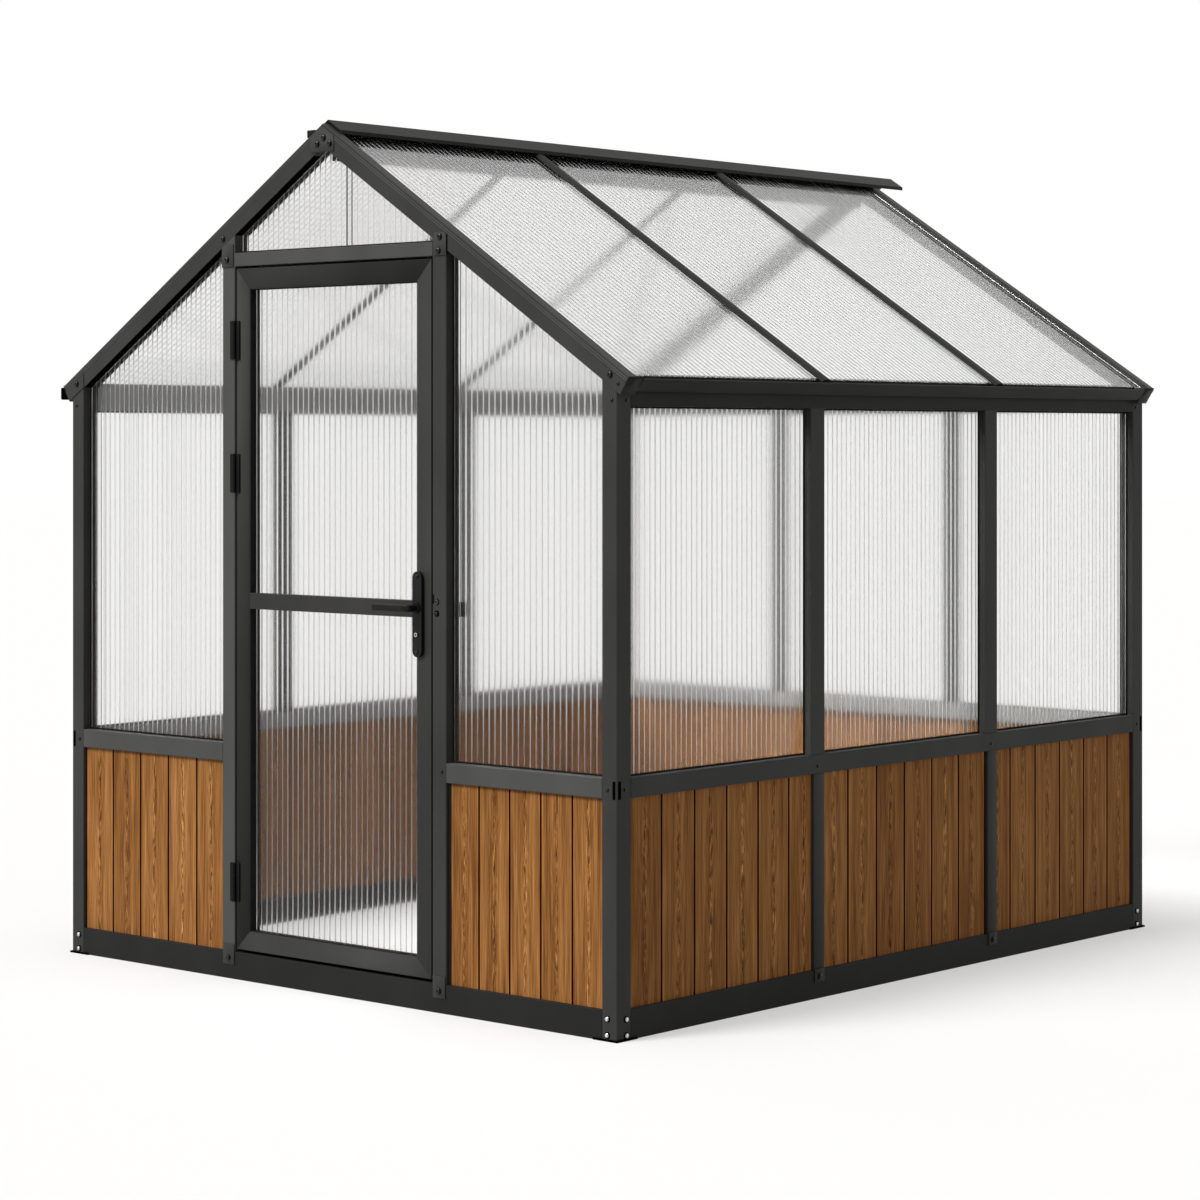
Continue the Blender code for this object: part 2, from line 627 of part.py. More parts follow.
# Timber boards under the sills
def make_boards():
    inner = HALF - POST_X - SEAT
    bottom, top = BASE_HEIGHT + SEAT, SILL_BOTTOM - SEAT
    spans = {
        "boards_front_left": (FRONT, 1, -inner, JAMB_LEFT - JAMB_WIDTH - SEAT),
        "boards_front_right": (FRONT, 1, JAMB_RIGHT + JAMB_WIDTH + SEAT, inner),
        "boards_rear": (REAR, -1, -inner, inner),
    }
    for name, (wall, inward, start, end) in spans.items():
        face = wall + inward * BOARD_RECESS
        boards = round((end - start) / END_BOARD_WIDTH)
        outline = grooved_outline(start, end, face, face + inward * BOARD_THICKNESS, boards)
        finish_mesh(name, extruded(outline, [], "z", bottom, top), TIMBER, FRAME)
    start, end = FRONT + POST_Y + SEAT, REAR - POST_Y - SEAT
    boards = SIDE_BAYS * round((end - start) / SIDE_BAYS / SIDE_BOARD_WIDTH)
    for name, side in (("left", -1), ("right", 1)):
        face = side * (HALF - BOARD_RECESS)
        outline = swapped(grooved_outline(start, end, face, face - side * BOARD_THICKNESS, boards))
        finish_mesh(f"boards_{name}", extruded(outline, [], "z", bottom, top), TIMBER, FRAME)


# Door leaf
def latch_front():
    """Distance from the door's face to the latch bolt."""
    return (DOOR_DEPTH - LATCH_THICK) / 2


def make_door_leaf():
    back = DOOR_FACE + DOOR_DEPTH
    stiles = {
        "door_stile_hinge": (DOOR_LEFT, DOOR_LEFT + DOOR_STILE),
        "door_stile_lock": (DOOR_RIGHT - DOOR_STILE, DOOR_RIGHT),
    }
    made = {}
    for name, (start, end) in stiles.items():
        section = tube_section((start, DOOR_FACE), (end, back))
        made[name] = finish_mesh(name, extruded(*section, "z", DOOR_BOTTOM, DOOR_TOP), DOOR_COAT, DOOR)
    inner = (DOOR_LEFT + DOOR_STILE + SEAT, DOOR_RIGHT - DOOR_STILE - SEAT)
    rails = {
        "door_rail_top": (DOOR_TOP - DOOR_TOP_RAIL, DOOR_TOP, back),
        "door_rail_bottom": (DOOR_BOTTOM, DOOR_BOTTOM + DOOR_BOTTOM_RAIL, back),
        "door_rail_middle": (MID_RAIL_BOTTOM, MID_RAIL_BOTTOM + MID_RAIL_HEIGHT, DOOR_FACE + MID_RAIL_DEPTH),
    }
    for name, (bottom, top, rear) in rails.items():
        section = tube_section((DOOR_FACE, bottom), (rear, top))
        finish_mesh(name, extruded(*section, "x", *inner), DOOR_COAT, DOOR)
    face = DOOR_FACE + MID_RAIL_DEPTH + SEAT
    pane = extruded(
        fluted_outline(*inner, face, face + SHEET), [], "z",
        DOOR_BOTTOM + DOOR_BOTTOM_RAIL + SEAT, DOOR_TOP - DOOR_TOP_RAIL - SEAT,
    )
    finish_mesh("door_pane", pane, FLUTED, DOOR)
    return made


# Hinges: the jamb carries a leaf, two knuckles and the pin; the door's stile carries the middle knuckle
def make_hinges(stile):
    third = HINGE_HEIGHT / 3
    reach = HINGE_BARREL + 2 * RUNNING
    for level_name, level in HINGE_LEVELS.items():
        bottom = level - HINGE_HEIGHT / 2
        top = level + HINGE_HEIGHT / 2
        barrel = circle(HINGE_X, HINGE_Y, HINGE_BARREL)
        pin = circle(HINGE_X, HINGE_Y, HINGE_PIN)
        leaf_back = FRONT - SEAT
        leaf_front = leaf_back - HINGE_LEAF
        far = HINGE_X - reach - HINGE_LEAF_WIDTH
        near = HINGE_X - reach
        inside = near - HINGE_LEAF_WIDTH / 2
        leaf = [(far, leaf_front), (near, leaf_front), (near, leaf_back), (far, leaf_back)]
        tongue = [(inside, leaf_front), (HINGE_X, leaf_front), (HINGE_X, leaf_back), (inside, leaf_back)]
        hinge = extruded(leaf, [], "z", bottom, top)
        hinge = finish_mesh(f"hinge_{level_name}", hinge, BLACK_METAL, FRAME)
        joined = [("pin", pin, bottom, top)]
        ends = {"low": (bottom, bottom + third - RUNNING), "high": (top - third + RUNNING, top)}
        for place, (low, high) in ends.items():
            joined.append((f"knuckle_{place}", barrel, low, high))
            joined.append((f"tongue_{place}", tongue, low, high))
        for piece, outline, low, high in joined:
            solid = extruded(outline, [], "z", low, high)
            helper = finish_mesh(f"{piece}_{level_name}", solid, BLACK_METAL, FRAME, cutter=True)
            add_boolean(hinge, helper, "UNION")
        middle = (bottom + third, top - third)
        near = HINGE_X + reach
        far = near + HINGE_LEAF_WIDTH
        root = DOOR_FACE + WALL / 2
        strap = [
            (HINGE_X, leaf_front), (far, leaf_front), (far, root), (near, root), (near, leaf_back),
            (HINGE_X, leaf_back),
        ]
        for piece, outline, operation in (
            ("door_strap", strap, "UNION"),
            ("door_knuckle", barrel, "UNION"),
            ("pin_bore", circle(HINGE_X, HINGE_Y, HINGE_PIN + RUNNING), "DIFFERENCE"),
        ):
            spare = WALL if operation == "DIFFERENCE" else 0
            solid = extruded(outline, [], "z", middle[0] - spare, middle[1] + spare)
            helper = finish_mesh(f"{piece}_{level_name}", solid, BLACK_METAL, DOOR, cutter=True)
            add_boolean(stile, helper, operation)


# Handle plate, lever, latch bolt and lock plug
def make_handle_plate(stile):
    near = DOOR_FACE - SEAT
    half = PLATE_WIDTH / 2
    outline = rounded_corner((LEVER_X, LEVER_HEIGHT + PLATE_ABOVE - half), half, 0, 180, FACETS // 2)
    outline += rounded_corner((LEVER_X, LEVER_HEIGHT - PLATE_BELOW + half), half, 180, 360, FACETS // 2)
    hub = circle(LEVER_X, LEVER_HEIGHT, HUB_RADIUS + RUNNING)
    spindle = circle(LEVER_X, LEVER_HEIGHT, SPINDLE_RADIUS + RUNNING)
    bore = circle(LEVER_X, LEVER_HEIGHT - PLUG_DROP, PLUG_RADIUS + RUNNING)
    plate = extruded(outline, [hub, bore], "y", near - PLATE_THICKNESS, near)
    plate = finish_mesh("handle_plate", plate, BLACK_METAL, DOOR)
    bevel = plate.modifiers.new("rounded_rim", "BEVEL")
    bevel.width = PLATE_RIM
    bevel.segments = 1
    bevel.limit_method = "ANGLE"
    bevel.angle_limit = PLATE_RIM_ANGLE
    for name, hole in (("spindle_hole", spindle), ("plug_hole", bore)):
        drill = extruded(hole, [], "y", DOOR_FACE - WALL, DOOR_FACE + DOOR_DEPTH + WALL)
        add_boolean(stile, finish_mesh(name, drill, STEEL, DOOR, cutter=True), "DIFFERENCE")


def lever_bar(path):
    """A flat bar with bevelled edges along an (x, y) path at the lever's height."""
    half_tall, half_thick = LEVER_TALL / 2, LEVER_THICK / 2
    flat_tall, flat_thick = half_tall - LEVER_EDGE, half_thick - LEVER_EDGE
    section = [
        (half_thick, flat_tall), (flat_thick, half_tall),
        (-flat_thick, half_tall), (-half_thick, flat_tall),
        (-half_thick, -flat_tall), (-flat_thick, -half_tall),
        (flat_thick, -half_tall), (half_thick, -flat_tall),
    ]
    bm = bmesh.new()
    rings = []
    befores = [path[0], *path[:-1]]
    afters = [*path[1:], path[-1]]
    for (x, y), before, after in zip(path, befores, afters):
        along = (Vector(after) - Vector(before)).normalized()
        across = Vector((along.y, -along.x))
        places = [(x + across.x * a, y + across.y * a, LEVER_HEIGHT + b) for a, b in section]
        rings.append([bm.verts.new(place) for place in places])
    for near, far in zip(rings, rings[1:]):
        for corners in zip(near, near[1:] + near[:1], far[1:] + far[:1], far):
            bm.faces.new(corners)
    bm.faces.new(rings[0])
    bm.faces.new(rings[-1])
    return bm


def make_lever():
    """A bent bar outside the door and one inside, with their hubs and the spindle that joins them."""
    front = DOOR_FACE - SEAT - PLATE_THICKNESS - HUB_PROUD
    back = DOOR_FACE + DOOR_DEPTH + SEAT
    outside = DOOR_FACE - LEVER_STANDOFF
    inside = DOOR_FACE + DOOR_DEPTH + LEVER_STANDOFF
    bend = LEVER_BEND
    tip = LEVER_X - LEVER_LENGTH
    outer = [(tip, outside)] + rounded_corner((LEVER_X - bend, outside + bend), bend, -90, 0)
    outer.append((LEVER_X, front + HUB_PROUD))
    inner = [(LEVER_X, back + HUB_PROUD / 2)]
    inner += rounded_corner((LEVER_X - bend, inside - bend), bend, 0, 90) + [(tip, inside)]
    lever = finish_mesh("lever", lever_bar(outer), BLACK_METAL, LEVER)
    joined = [
        ("lever_hub", HUB_RADIUS, front, DOOR_FACE - 2 * SEAT),
        ("lever_spindle", SPINDLE_RADIUS, front + HUB_PROUD, back + HUB_PROUD / 2),
        ("lever_rose", HUB_RADIUS, back, back + HUB_PROUD),
    ]
    for name, radius, start, end in joined:
        turned = extruded(circle(LEVER_X, LEVER_HEIGHT, radius), [], "y", start, end)
        add_boolean(lever, finish_mesh(name, turned, BLACK_METAL, LEVER, cutter=True), "UNION")
    inner_bar = finish_mesh("lever_inner_bar", lever_bar(inner), BLACK_METAL, LEVER, cutter=True)
    add_boolean(lever, inner_bar, "UNION")


def make_latch(stile):
    middle = LEVER_HEIGHT + LATCH_RISE
    low, high = middle - LATCH_TALL / 2, middle + LATCH_TALL / 2
    near = DOOR_FACE + latch_front()
    far = near + LATCH_THICK
    tip = JAMB_RIGHT + LATCH_ENGAGE
    nose = DOOR_RIGHT
    outline = [(tip - LATCH_LENGTH, near), (tip, near), (tip, near + LATCH_THICK / 3), (nose, far),
               (tip - LATCH_LENGTH, far)]
    finish_mesh("latch_bolt", extruded(outline, [], "z", low, high), STEEL, LATCH)
    slot = block(
        (DOOR_RIGHT - 2 * WALL, near - RUNNING, low - RUNNING),
        (DOOR_RIGHT + WALL, far + RUNNING, high + RUNNING),
    )
    add_boolean(stile, finish_mesh("latch_slot", slot, STEEL, DOOR, cutter=True), "DIFFERENCE")


def make_lock_plug():
    centre = LEVER_HEIGHT - PLUG_DROP
    near = DOOR_FACE - SEAT - PLATE_THICKNESS - PLUG_PROUD
    plug = extruded(circle(LEVER_X, centre, PLUG_RADIUS), [], "y", near, DOOR_FACE + DOOR_DEPTH / 2)
    plug = finish_mesh("lock_plug", plug, STEEL, PLUG)
    slot = block(
        (LEVER_X - KEY_SLOT_WIDTH / 2, near - PLUG_PROUD, centre - KEY_SLOT_HEIGHT / 2),
        (LEVER_X + KEY_SLOT_WIDTH / 2, near + KEY_SLOT_DEPTH, centre + KEY_SLOT_HEIGHT / 2),
    )
    add_boolean(plug, finish_mesh("key_slot", slot, STEEL, PLUG, cutter=True), "DIFFERENCE")


make_base_rails()
make_corner_posts()
make_sills()
make_door_frame()
make_eaves()
make_rafters()
make_roof_bars()
make_ridge()
make_mullions()
make_rear_frame()
make_end_glazing()
make_side_glazing()
make_roof_glazing()
make_boards()
door_stiles = make_door_leaf()
make_hinges(door_stiles["door_stile_hinge"])
make_handle_plate(door_stiles["door_stile_lock"])
make_lever()
make_latch(door_stiles["door_stile_lock"])
make_lock_plug()
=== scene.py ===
# %% [markdown]
# # A family greenhouse, dressed for a portrait
# The engineering model of this greenhouse is loaded as a fixed frame: every rail, post and pane already
# stands in its place, in metres, with X across the door wall, Y towards the back and Z up. This lesson
# gives each of those members a finish, and models what a plain engineering model leaves out: the reeded
# glazing, the mitred door, the brackets, bolts and gaskets.

# %% Load the frame
import contextlib
import math

import bpy
from mathutils import Matrix, Vector


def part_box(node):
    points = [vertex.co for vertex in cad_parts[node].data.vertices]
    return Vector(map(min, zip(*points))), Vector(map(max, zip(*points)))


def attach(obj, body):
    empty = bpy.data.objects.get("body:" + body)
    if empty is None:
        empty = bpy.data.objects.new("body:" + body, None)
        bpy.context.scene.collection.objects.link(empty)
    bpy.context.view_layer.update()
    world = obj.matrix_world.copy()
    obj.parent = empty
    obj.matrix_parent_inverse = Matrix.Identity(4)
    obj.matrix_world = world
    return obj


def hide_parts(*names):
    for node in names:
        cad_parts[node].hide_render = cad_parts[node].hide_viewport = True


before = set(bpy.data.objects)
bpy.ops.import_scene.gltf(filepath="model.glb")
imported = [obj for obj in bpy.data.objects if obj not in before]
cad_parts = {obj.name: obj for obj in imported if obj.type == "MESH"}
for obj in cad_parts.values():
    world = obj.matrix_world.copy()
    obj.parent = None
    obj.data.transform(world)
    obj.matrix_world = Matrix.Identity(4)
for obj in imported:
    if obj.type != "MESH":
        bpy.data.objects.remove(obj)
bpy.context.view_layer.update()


def as_lists(bounds):
    """The two corners of a box as plain lists of numbers."""
    return [[round(float(value), 5) for value in corner] for corner in bounds]


# %% [markdown]
# ## The camera
# The camera stands at eye height, three quarters on. It looks dead level and the picture is shifted down
# instead of the camera being tilted, which is how an architectural photographer keeps verticals vertical.

# %% A level camera with a shifted lens
bpy.ops.object.select_all(action="DESELECT")
bpy.ops.object.camera_add(location=(6.2443, -6.0188, 1.5205),
                          rotation=(math.radians(90), 0, math.radians(41.137)))
camera = bpy.context.object
camera.name = "portrait_camera"
camera.data.lens = 94.43
camera.data.sensor_width = 36
camera.data.shift_y = -0.13435
camera.data.clip_end = 200
bpy.context.scene.camera = camera
print("camera at", tuple(round(value, 3) for value in camera.location), "lens", camera.data.lens)

# %% [markdown]
# ## The sizes that the pieces share
# Brackets and gaskets sit on the members that carry them, so their places are read from those members'
# boxes wherever that is possible. The few numbers below describe the frame as a whole.

# %% Shared sizes
HALF = 1.065  # half the width over the posts
FRONT, REAR = -0.025, 2.480  # faces of the end walls
RIDGE, EAVE = 2.385, 1.703  # roof line at the middle and over the side walls
PITCH = math.atan2(RIDGE - EAVE, HALF)
RAFTER = 0.0538  # height of a gable rafter, square to the slope
SEAT = 0.0003  # air between two pieces that touch
SIDES = {"left": -1, "right": 1}
ENDS = ((-1, FRONT), (1, REAR))
POSTS = [(side, end, face) for side in (-1, 1) for end, face in ENDS]
sill_low, sill_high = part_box("sill_right")
SILL_BOTTOM, SILL_TOP = sill_low.z, sill_high.z
BASE_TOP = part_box("base_rail_right")[1].z
PLATE_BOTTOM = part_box("eave_right")[0].z
SIDE_MULLIONS = [sum(corner.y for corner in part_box(f"mullion_right_{n}")) / 2 for n in (1, 2)]
REAR_POSTS = [sum(corner.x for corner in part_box(f"rear_post_{side}")) / 2 for side in ("left", "right")]
print("sill from", round(SILL_BOTTOM, 4), "to", round(SILL_TOP, 4), "and mullions at",
      [round(y, 3) for y in SIDE_MULLIONS])


def roof_line(x, rise=0.0):
    """Height of the roof at distance x from the middle, moved out by rise square to the slope."""
    return RIDGE - math.tan(PITCH) * abs(x) + rise / math.cos(PITCH)


def out_of_slope(side):
    """The direction square out of a roof slope."""
    return Vector((side * math.sin(PITCH), 0, math.cos(PITCH)))


def down_slope(side):
    """The direction down a roof slope."""
    return Vector((side * math.cos(PITCH), 0, -math.sin(PITCH)))


# %% [markdown]
# ## Materials
# Each finish is a small network of nodes on one Principled shader. The patterns read Object coordinates:
# every object here has its origin at the world's origin, so one unit of the pattern is one metre of the
# greenhouse.

# %% A helper for node trees
class Tree:
    """A node tree, with short ways to add nodes. A value is a number, a colour or another node's output."""

    def __init__(self, owner):
        owner.use_nodes = True
        self.nodes, self.links = owner.node_tree.nodes, owner.node_tree.links

    def feed(self, node, values):
        for key, value in values.items():
            if isinstance(value, bpy.types.NodeSocket):
                self.links.new(value, node.inputs[key])
            else:
                node.inputs[key].default_value = value

    def add(self, kind, values=None, **settings):
        node = self.nodes.new(kind)
        for key, value in settings.items():
            setattr(node, key, value)
        self.feed(node, values or {})
        return node

    def calc(self, operation, *values):
        return self.add("ShaderNodeMath", dict(enumerate(values)), operation=operation).outputs[0]

    def ramp(self, source, stops):
        """A colour ramp with (position, colour) stops."""
        node = self.add("ShaderNodeValToRGB", {"Fac": source})
        elements = node.color_ramp.elements
        while len(elements) < len(stops):
            elements.new(0.5)
        for element, (position, color) in zip(elements, stops):
            element.position = position
            element.color = (*color, 1.0)
        return node.outputs["Color"]

    def noise(self, vector, scale, detail=2.0, roughness=0.5):
        values = {"Scale": scale, "Detail": detail, "Roughness": roughness, "Vector": vector}
        return self.add("ShaderNodeTexNoise", values).outputs["Fac"]

    def stretched(self, vector, scale):
        """The same coordinates, scaled apart along X, Y and Z."""
        return self.add("ShaderNodeMapping", {"Scale": scale, "Vector": vector}).outputs["Vector"]

    def split(self, vector):
        return self.add("ShaderNodeSeparateXYZ", {0: vector}).outputs

    def chance(self, number):
        """A random value for each whole number."""
        return self.add("ShaderNodeTexWhiteNoise", {"W": number}, noise_dimensions="1D").outputs["Value"]

    def blend(self, kind, factor, first, second):
        node = self.add("ShaderNodeMix", data_type="RGBA", blend_type=kind)
        self.feed(node, {"Factor": factor, "A": first, "B": second})
        return node.outputs["Result"]

    def eased(self, value, *limits):
        """A value eased from one range to another: from low, from high, to low, to high."""
        names = ("From Min", "From Max", "To Min", "To Max")
        node = self.add("ShaderNodeMapRange", {"Value": value, **dict(zip(names, limits))},
                        interpolation_type="SMOOTHSTEP")
        return node.outputs["Result"]

    def bump(self, height, strength, distance):
        values = {"Strength": strength, "Distance": distance, "Height": height}
        return self.add("ShaderNodeBump", values).outputs["Normal"]

    def surface(self, factor, first, second):
        """Mix two shaders and let the material show the result."""
        either = self.add("ShaderNodeMixShader", {"Fac": factor, 1: first, 2: second})
        self.feed(self.nodes["Material Output"], {"Surface": either.outputs[0]})


class Finish(Tree):
    """A material with one Principled shader; place is the Object coordinate."""

    def __init__(self, name):
        self.material = bpy.data.materials.new(name)
        super().__init__(self.material)
        self.shader = self.nodes["Principled BSDF"]
        self.place = self.add("ShaderNodeTexCoord").outputs["Object"]

    def shade(self, values):
        self.feed(self.shader, values)
        return self.material


print("node helpers ready")

# %% [markdown]
# ### Powder coat
# Powder coat is satin, never quite one colour, and shows an orange-peel texture under a raking light. A broad
# noise shifts the tone, and a fine one lifts the surface and varies the roughness. Beside the frame's coat
# and the door's, three copies carry painted light: a darker one is painted shade on the base rails, the eave
# plates, the roof bars, the ridge and the caps; a paler one is painted light on the front sill, the header
# and the left jamb; the palest is a painted highlight on the rafters' raised lines. The eave plates and three
# sills also carry painted light on their inner faces, a light grey where the coordinate across the house is
# below a limit.

# %% Powder coats, three of them with painted light inside
def powder_coat(name, dark, light, roughness=0.52, lining=None):
    nodes = Finish(name)
    cloud = nodes.noise(nodes.stretched(nodes.place, (1.0, 1.0, 0.45)), 5.0, 3.0)
    tone = nodes.ramp(cloud, [(0.3, dark), (0.7, light)])
    # Painted light on the inner faces: a light grey where the coordinate across the house is below a limit.
    if lining:
        axis, limit = lining
        inside = nodes.calc("LESS_THAN", nodes.calc("ABSOLUTE", nodes.split(nodes.place)[axis]), limit)
        tone = nodes.blend("MIX", inside, tone, INNER_PAINTED_LIGHT)
    peel = nodes.noise(nodes.place, 620.0, 1.0)
    return nodes.shade({
        "Base Color": tone, "Roughness": nodes.calc("MULTIPLY_ADD", peel, 0.14, roughness - 0.07),
        "Normal": nodes.bump(peel, 0.25, 0.0004), "Metallic": 0.0, "Specular IOR Level": 0.09,
    })


# The light grey of the painted light on inner faces.
INNER_PAINTED_LIGHT = (0.27, 0.27, 0.265, 1.0)
CHARCOAL = (0.034, 0.034, 0.033), (0.047, 0.047, 0.045)
# A darker copy of the charcoal, painted shade.
SHADED_CHARCOAL = (0.013, 0.013, 0.012), (0.019, 0.019, 0.018)
SIDE_INSIDE = "X", HALF - 0.0495
REAR_INSIDE = "Y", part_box("sill_rear")[0].y + 0.0005
frame_coat = powder_coat("charcoal_powder_coat", *CHARCOAL)
door_coat = powder_coat("charcoal_door_coat", (0.029, 0.029, 0.028), (0.040, 0.040, 0.038))
shaded_coat = powder_coat("painted_shade_coat", *SHADED_CHARCOAL)
# These three carry painted light on their inner faces.
shaded_coat_lit_inside = powder_coat("painted_shade_coat_lit_inside", *SHADED_CHARCOAL, lining=SIDE_INSIDE)
coat_lit_inside = powder_coat("charcoal_painted_light_inside", *CHARCOAL, lining=SIDE_INSIDE)
rear_coat_lit_inside = powder_coat("charcoal_rear_painted_light_inside", *CHARCOAL, lining=REAR_INSIDE)
# A paler copy of the charcoal, painted light on the front sill, the header and the left jamb.
lit_coat = powder_coat("painted_light_coat", (0.062, 0.062, 0.060), (0.080, 0.080, 0.077), 0.50)
# The palest copy of the charcoal, a painted highlight on the rafters' raised lines.
highlight_coat = powder_coat("painted_highlight_coat", (0.085, 0.085, 0.083), (0.120, 0.120, 0.117), 0.40)
print("coats:", frame_coat.name, door_coat.name, shaded_coat.name, lit_coat.name, highlight_coat.name)

# %% [markdown]
# ### Black hardware, bright steel and rubber
# The lever, its plate and the hinges are blacker than the frame, and the lever has a faint gloss. The bolts
# at the feet are bright zinc, with fine turning marks. The gaskets are matt rubber. The blackest finish is
# painted shade: it stands for the inside of slots, washers' shadow lines, the gap round the door, the
# underside of the rafters, the end of the gutter, the plates under the posts' feet and the latch's opening,
# which hardly any light leaves.

# %% Hardware finishes
def hardware(name, color, metallic, roughness, grain, strength, shine=0.35):
    nodes = Finish(name)
    speckle = nodes.noise(nodes.place, grain, 3.0)
    lighter = tuple(min(1.0, value * 1.35) for value in color)
    return nodes.shade({
        "Base Color": nodes.ramp(speckle, [(0.35, color), (0.75, lighter)]),
        "Roughness": nodes.calc("MULTIPLY_ADD", speckle, 0.16, roughness - 0.08),
        "Normal": nodes.bump(speckle, strength, 0.0003), "Metallic": metallic, "Specular IOR Level": shine,
    })


black_metal = hardware("black_hardware", (0.006, 0.006, 0.006), 0.0, 0.36, 300.0, 0.12, 0.14)
hinge_black = hardware("hinge_black", (0.003, 0.003, 0.003), 0.0, 0.55, 300.0, 0.12, 0.10)
# The blackest finish is painted shade, for places that hardly any light leaves.
painted_shade_black = hardware("painted_shade_black", (0.0015, 0.0015, 0.0015), 0.0, 0.80, 300.0, 0.10, 0.0)
zinc = hardware("bright_zinc", (0.58, 0.58, 0.56), 1.0, 0.26, 900.0, 0.25)
dark_bolt = hardware("blackened_bolt", (0.004, 0.004, 0.004), 0.0, 0.26, 700.0, 0.2, 0.30)
rubber = hardware("gasket_rubber", (0.006, 0.006, 0.006), 0.0, 0.72, 450.0, 0.4, 0.12)
print("hardware finishes:", black_metal.name, zinc.name, dark_bolt.name, rubber.name)

# %% [markdown]
# ### Stained boards
# Flat-sawn softwood shows tall pointed arches of grain, called cathedrals, up the middle of a board, and
# straight lines along its edges. The level lines of a valley across the board plus a slow noise along it have
# just that shape. The heart of the board is knotty and cracked: a wandering line of dark and light specks.
# Each board gets its own random number, which slides its grain and shifts its tone. The joint between two
# boards is darkened with dirt and painted shade in the groove, and the rounded edge beside it is lighter, a
# painted highlight where the light catches it.

# %% Boards that run up along Z and are counted along X or Y
STAIN = [(0.36, (0.122, 0.043, 0.011)), (0.46, (0.236, 0.096, 0.025)), (0.55, (0.340, 0.148, 0.043)),
         (0.68, (0.510, 0.250, 0.088))]
KNOTS = [(0.42, (0.16, 0.12, 0.10)), (0.475, (0.66, 0.60, 0.54)), (0.52, (1.0, 1.0, 1.0)),
         (0.58, (1.9, 2.0, 2.2))]
# Across a board: a lighter edge, a painted highlight, then the joint darkened with dirt and painted shade.
EDGE_HIGHLIGHT_JOINT_SHADE = [(0.43, (1.0, 1.0, 1.0)), (0.462, (1.42, 1.36, 1.28)), (0.474, (0.12, 0.08, 0.06)),
             (0.5, (0.03, 0.02, 0.02))]


def stained_boards(name, axis, start, pitch, seed):
    nodes = Finish(name)
    calc, noise, stretched = nodes.calc, nodes.noise, nodes.stretched
    parts = nodes.split(nodes.place)
    count = calc("DIVIDE", calc("SUBTRACT", parts[axis], start), pitch)
    across = calc("SUBTRACT", calc("FRACT", count), 0.5)
    lot = nodes.chance(calc("ADD", calc("FLOOR", count), seed))
    slid = {0: calc("MULTIPLY", lot, 61.0), 1: calc("MULTIPLY", across, 0.6), 2: parts["Z"]}
    slid = nodes.add("ShaderNodeCombineXYZ", slid).outputs[0]
    slow = noise(stretched(slid, (1.0, 1.0, 5.0)), 1.0, 2.0, 0.45)
    wander = noise(stretched(slid, (1.0, 1.0, 9.0)), 1.7, 3.0, 0.6)
    centred = calc("MULTIPLY_ADD", calc("SUBTRACT", wander, 0.5), 0.16, across)
    valley = calc("MULTIPLY", calc("MULTIPLY", centred, centred), 26.0)
    arches = calc("SINE", calc("MULTIPLY", calc("MULTIPLY_ADD", slow, 7.0, valley), 6.28))
    fibre = noise(stretched(nodes.place, (520.0, 520.0, 7.0)), 1.0, 3.0, 0.6)
    streak = noise(stretched(nodes.place, (55.0, 55.0, 2.2)), 1.0, 3.0, 0.55)
    mixed = calc("MULTIPLY_ADD", arches, 0.020, calc("MULTIPLY", fibre, 0.50))
    mixed = calc("MULTIPLY_ADD", streak, 0.42, mixed)
    mixed = calc("MULTIPLY_ADD", lot, 0.07, mixed)
    speck = noise(stretched(slid, (1.0, 90.0, 34.0)), 1.0, 3.0, 0.65)
    heart = nodes.eased(calc("ABSOLUTE", centred), 0.0, 0.090, 1.0, 0.0)
    aged = nodes.blend("MULTIPLY", heart, nodes.ramp(mixed, STAIN), nodes.ramp(speck, KNOTS))
    # Painted highlight on the board's edge, dirt and painted shade in the joint.
    edge_light_and_shade = nodes.ramp(calc("ABSOLUTE", across), EDGE_HIGHLIGHT_JOINT_SHADE)
    return nodes.shade({
        "Base Color": nodes.blend("MULTIPLY", 1.0, aged, edge_light_and_shade),
        "Roughness": calc("MULTIPLY_ADD", fibre, 0.25, 0.45),
        "Normal": nodes.bump(mixed, 0.30, 0.0012), "Specular IOR Level": 0.06,
    })


def recoat(node, finish):
    """Give a member of the frame its finish."""
    node.data.materials.clear()
    node.data.materials.append(finish)


walls = {"boards_front_left": ("X", 5), "boards_front_right": ("X", 5), "boards_rear": ("X", 17),
         "boards_left": ("Y", 18), "boards_right": ("Y", 18)}
for seed, (node, (axis, boards)) in enumerate(walls.items()):
    low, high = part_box(node)
    along = "XYZ".index(axis)
    start, span = low[along], high[along] - low[along]
    wood = stained_boards(f"stained_{node}", axis, start, span / boards, 17.0 * seed + 3.0)
    recoat(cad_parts[node], wood)
    print(node, boards, "boards of", round(1000 * span / boards), "mm")

# %% [markdown]
# ### Reeded glazing
# The panes are clear plastic rolled with thin upright ribs. Between the ribs one sees straight through; the
# rib itself is a narrow lens, so what stands behind is drawn out sideways in it, and a little milky, so it
# shows as a light line over dark things and as a grey line over white. The milky band repeats with the
# pitch of the ribs. Rays on their way to a lamp pass straight through, so that the inside of the greenhouse
# is lit.

# %% Glazing with ribs counted along X or Y
REED = 0.021  # pitch of the ribs
RIB = 0.14  # half a rib's share of that pitch
CLEAR, MILKY = (0.942, 0.942, 0.938), (0.775, 0.770, 0.762)


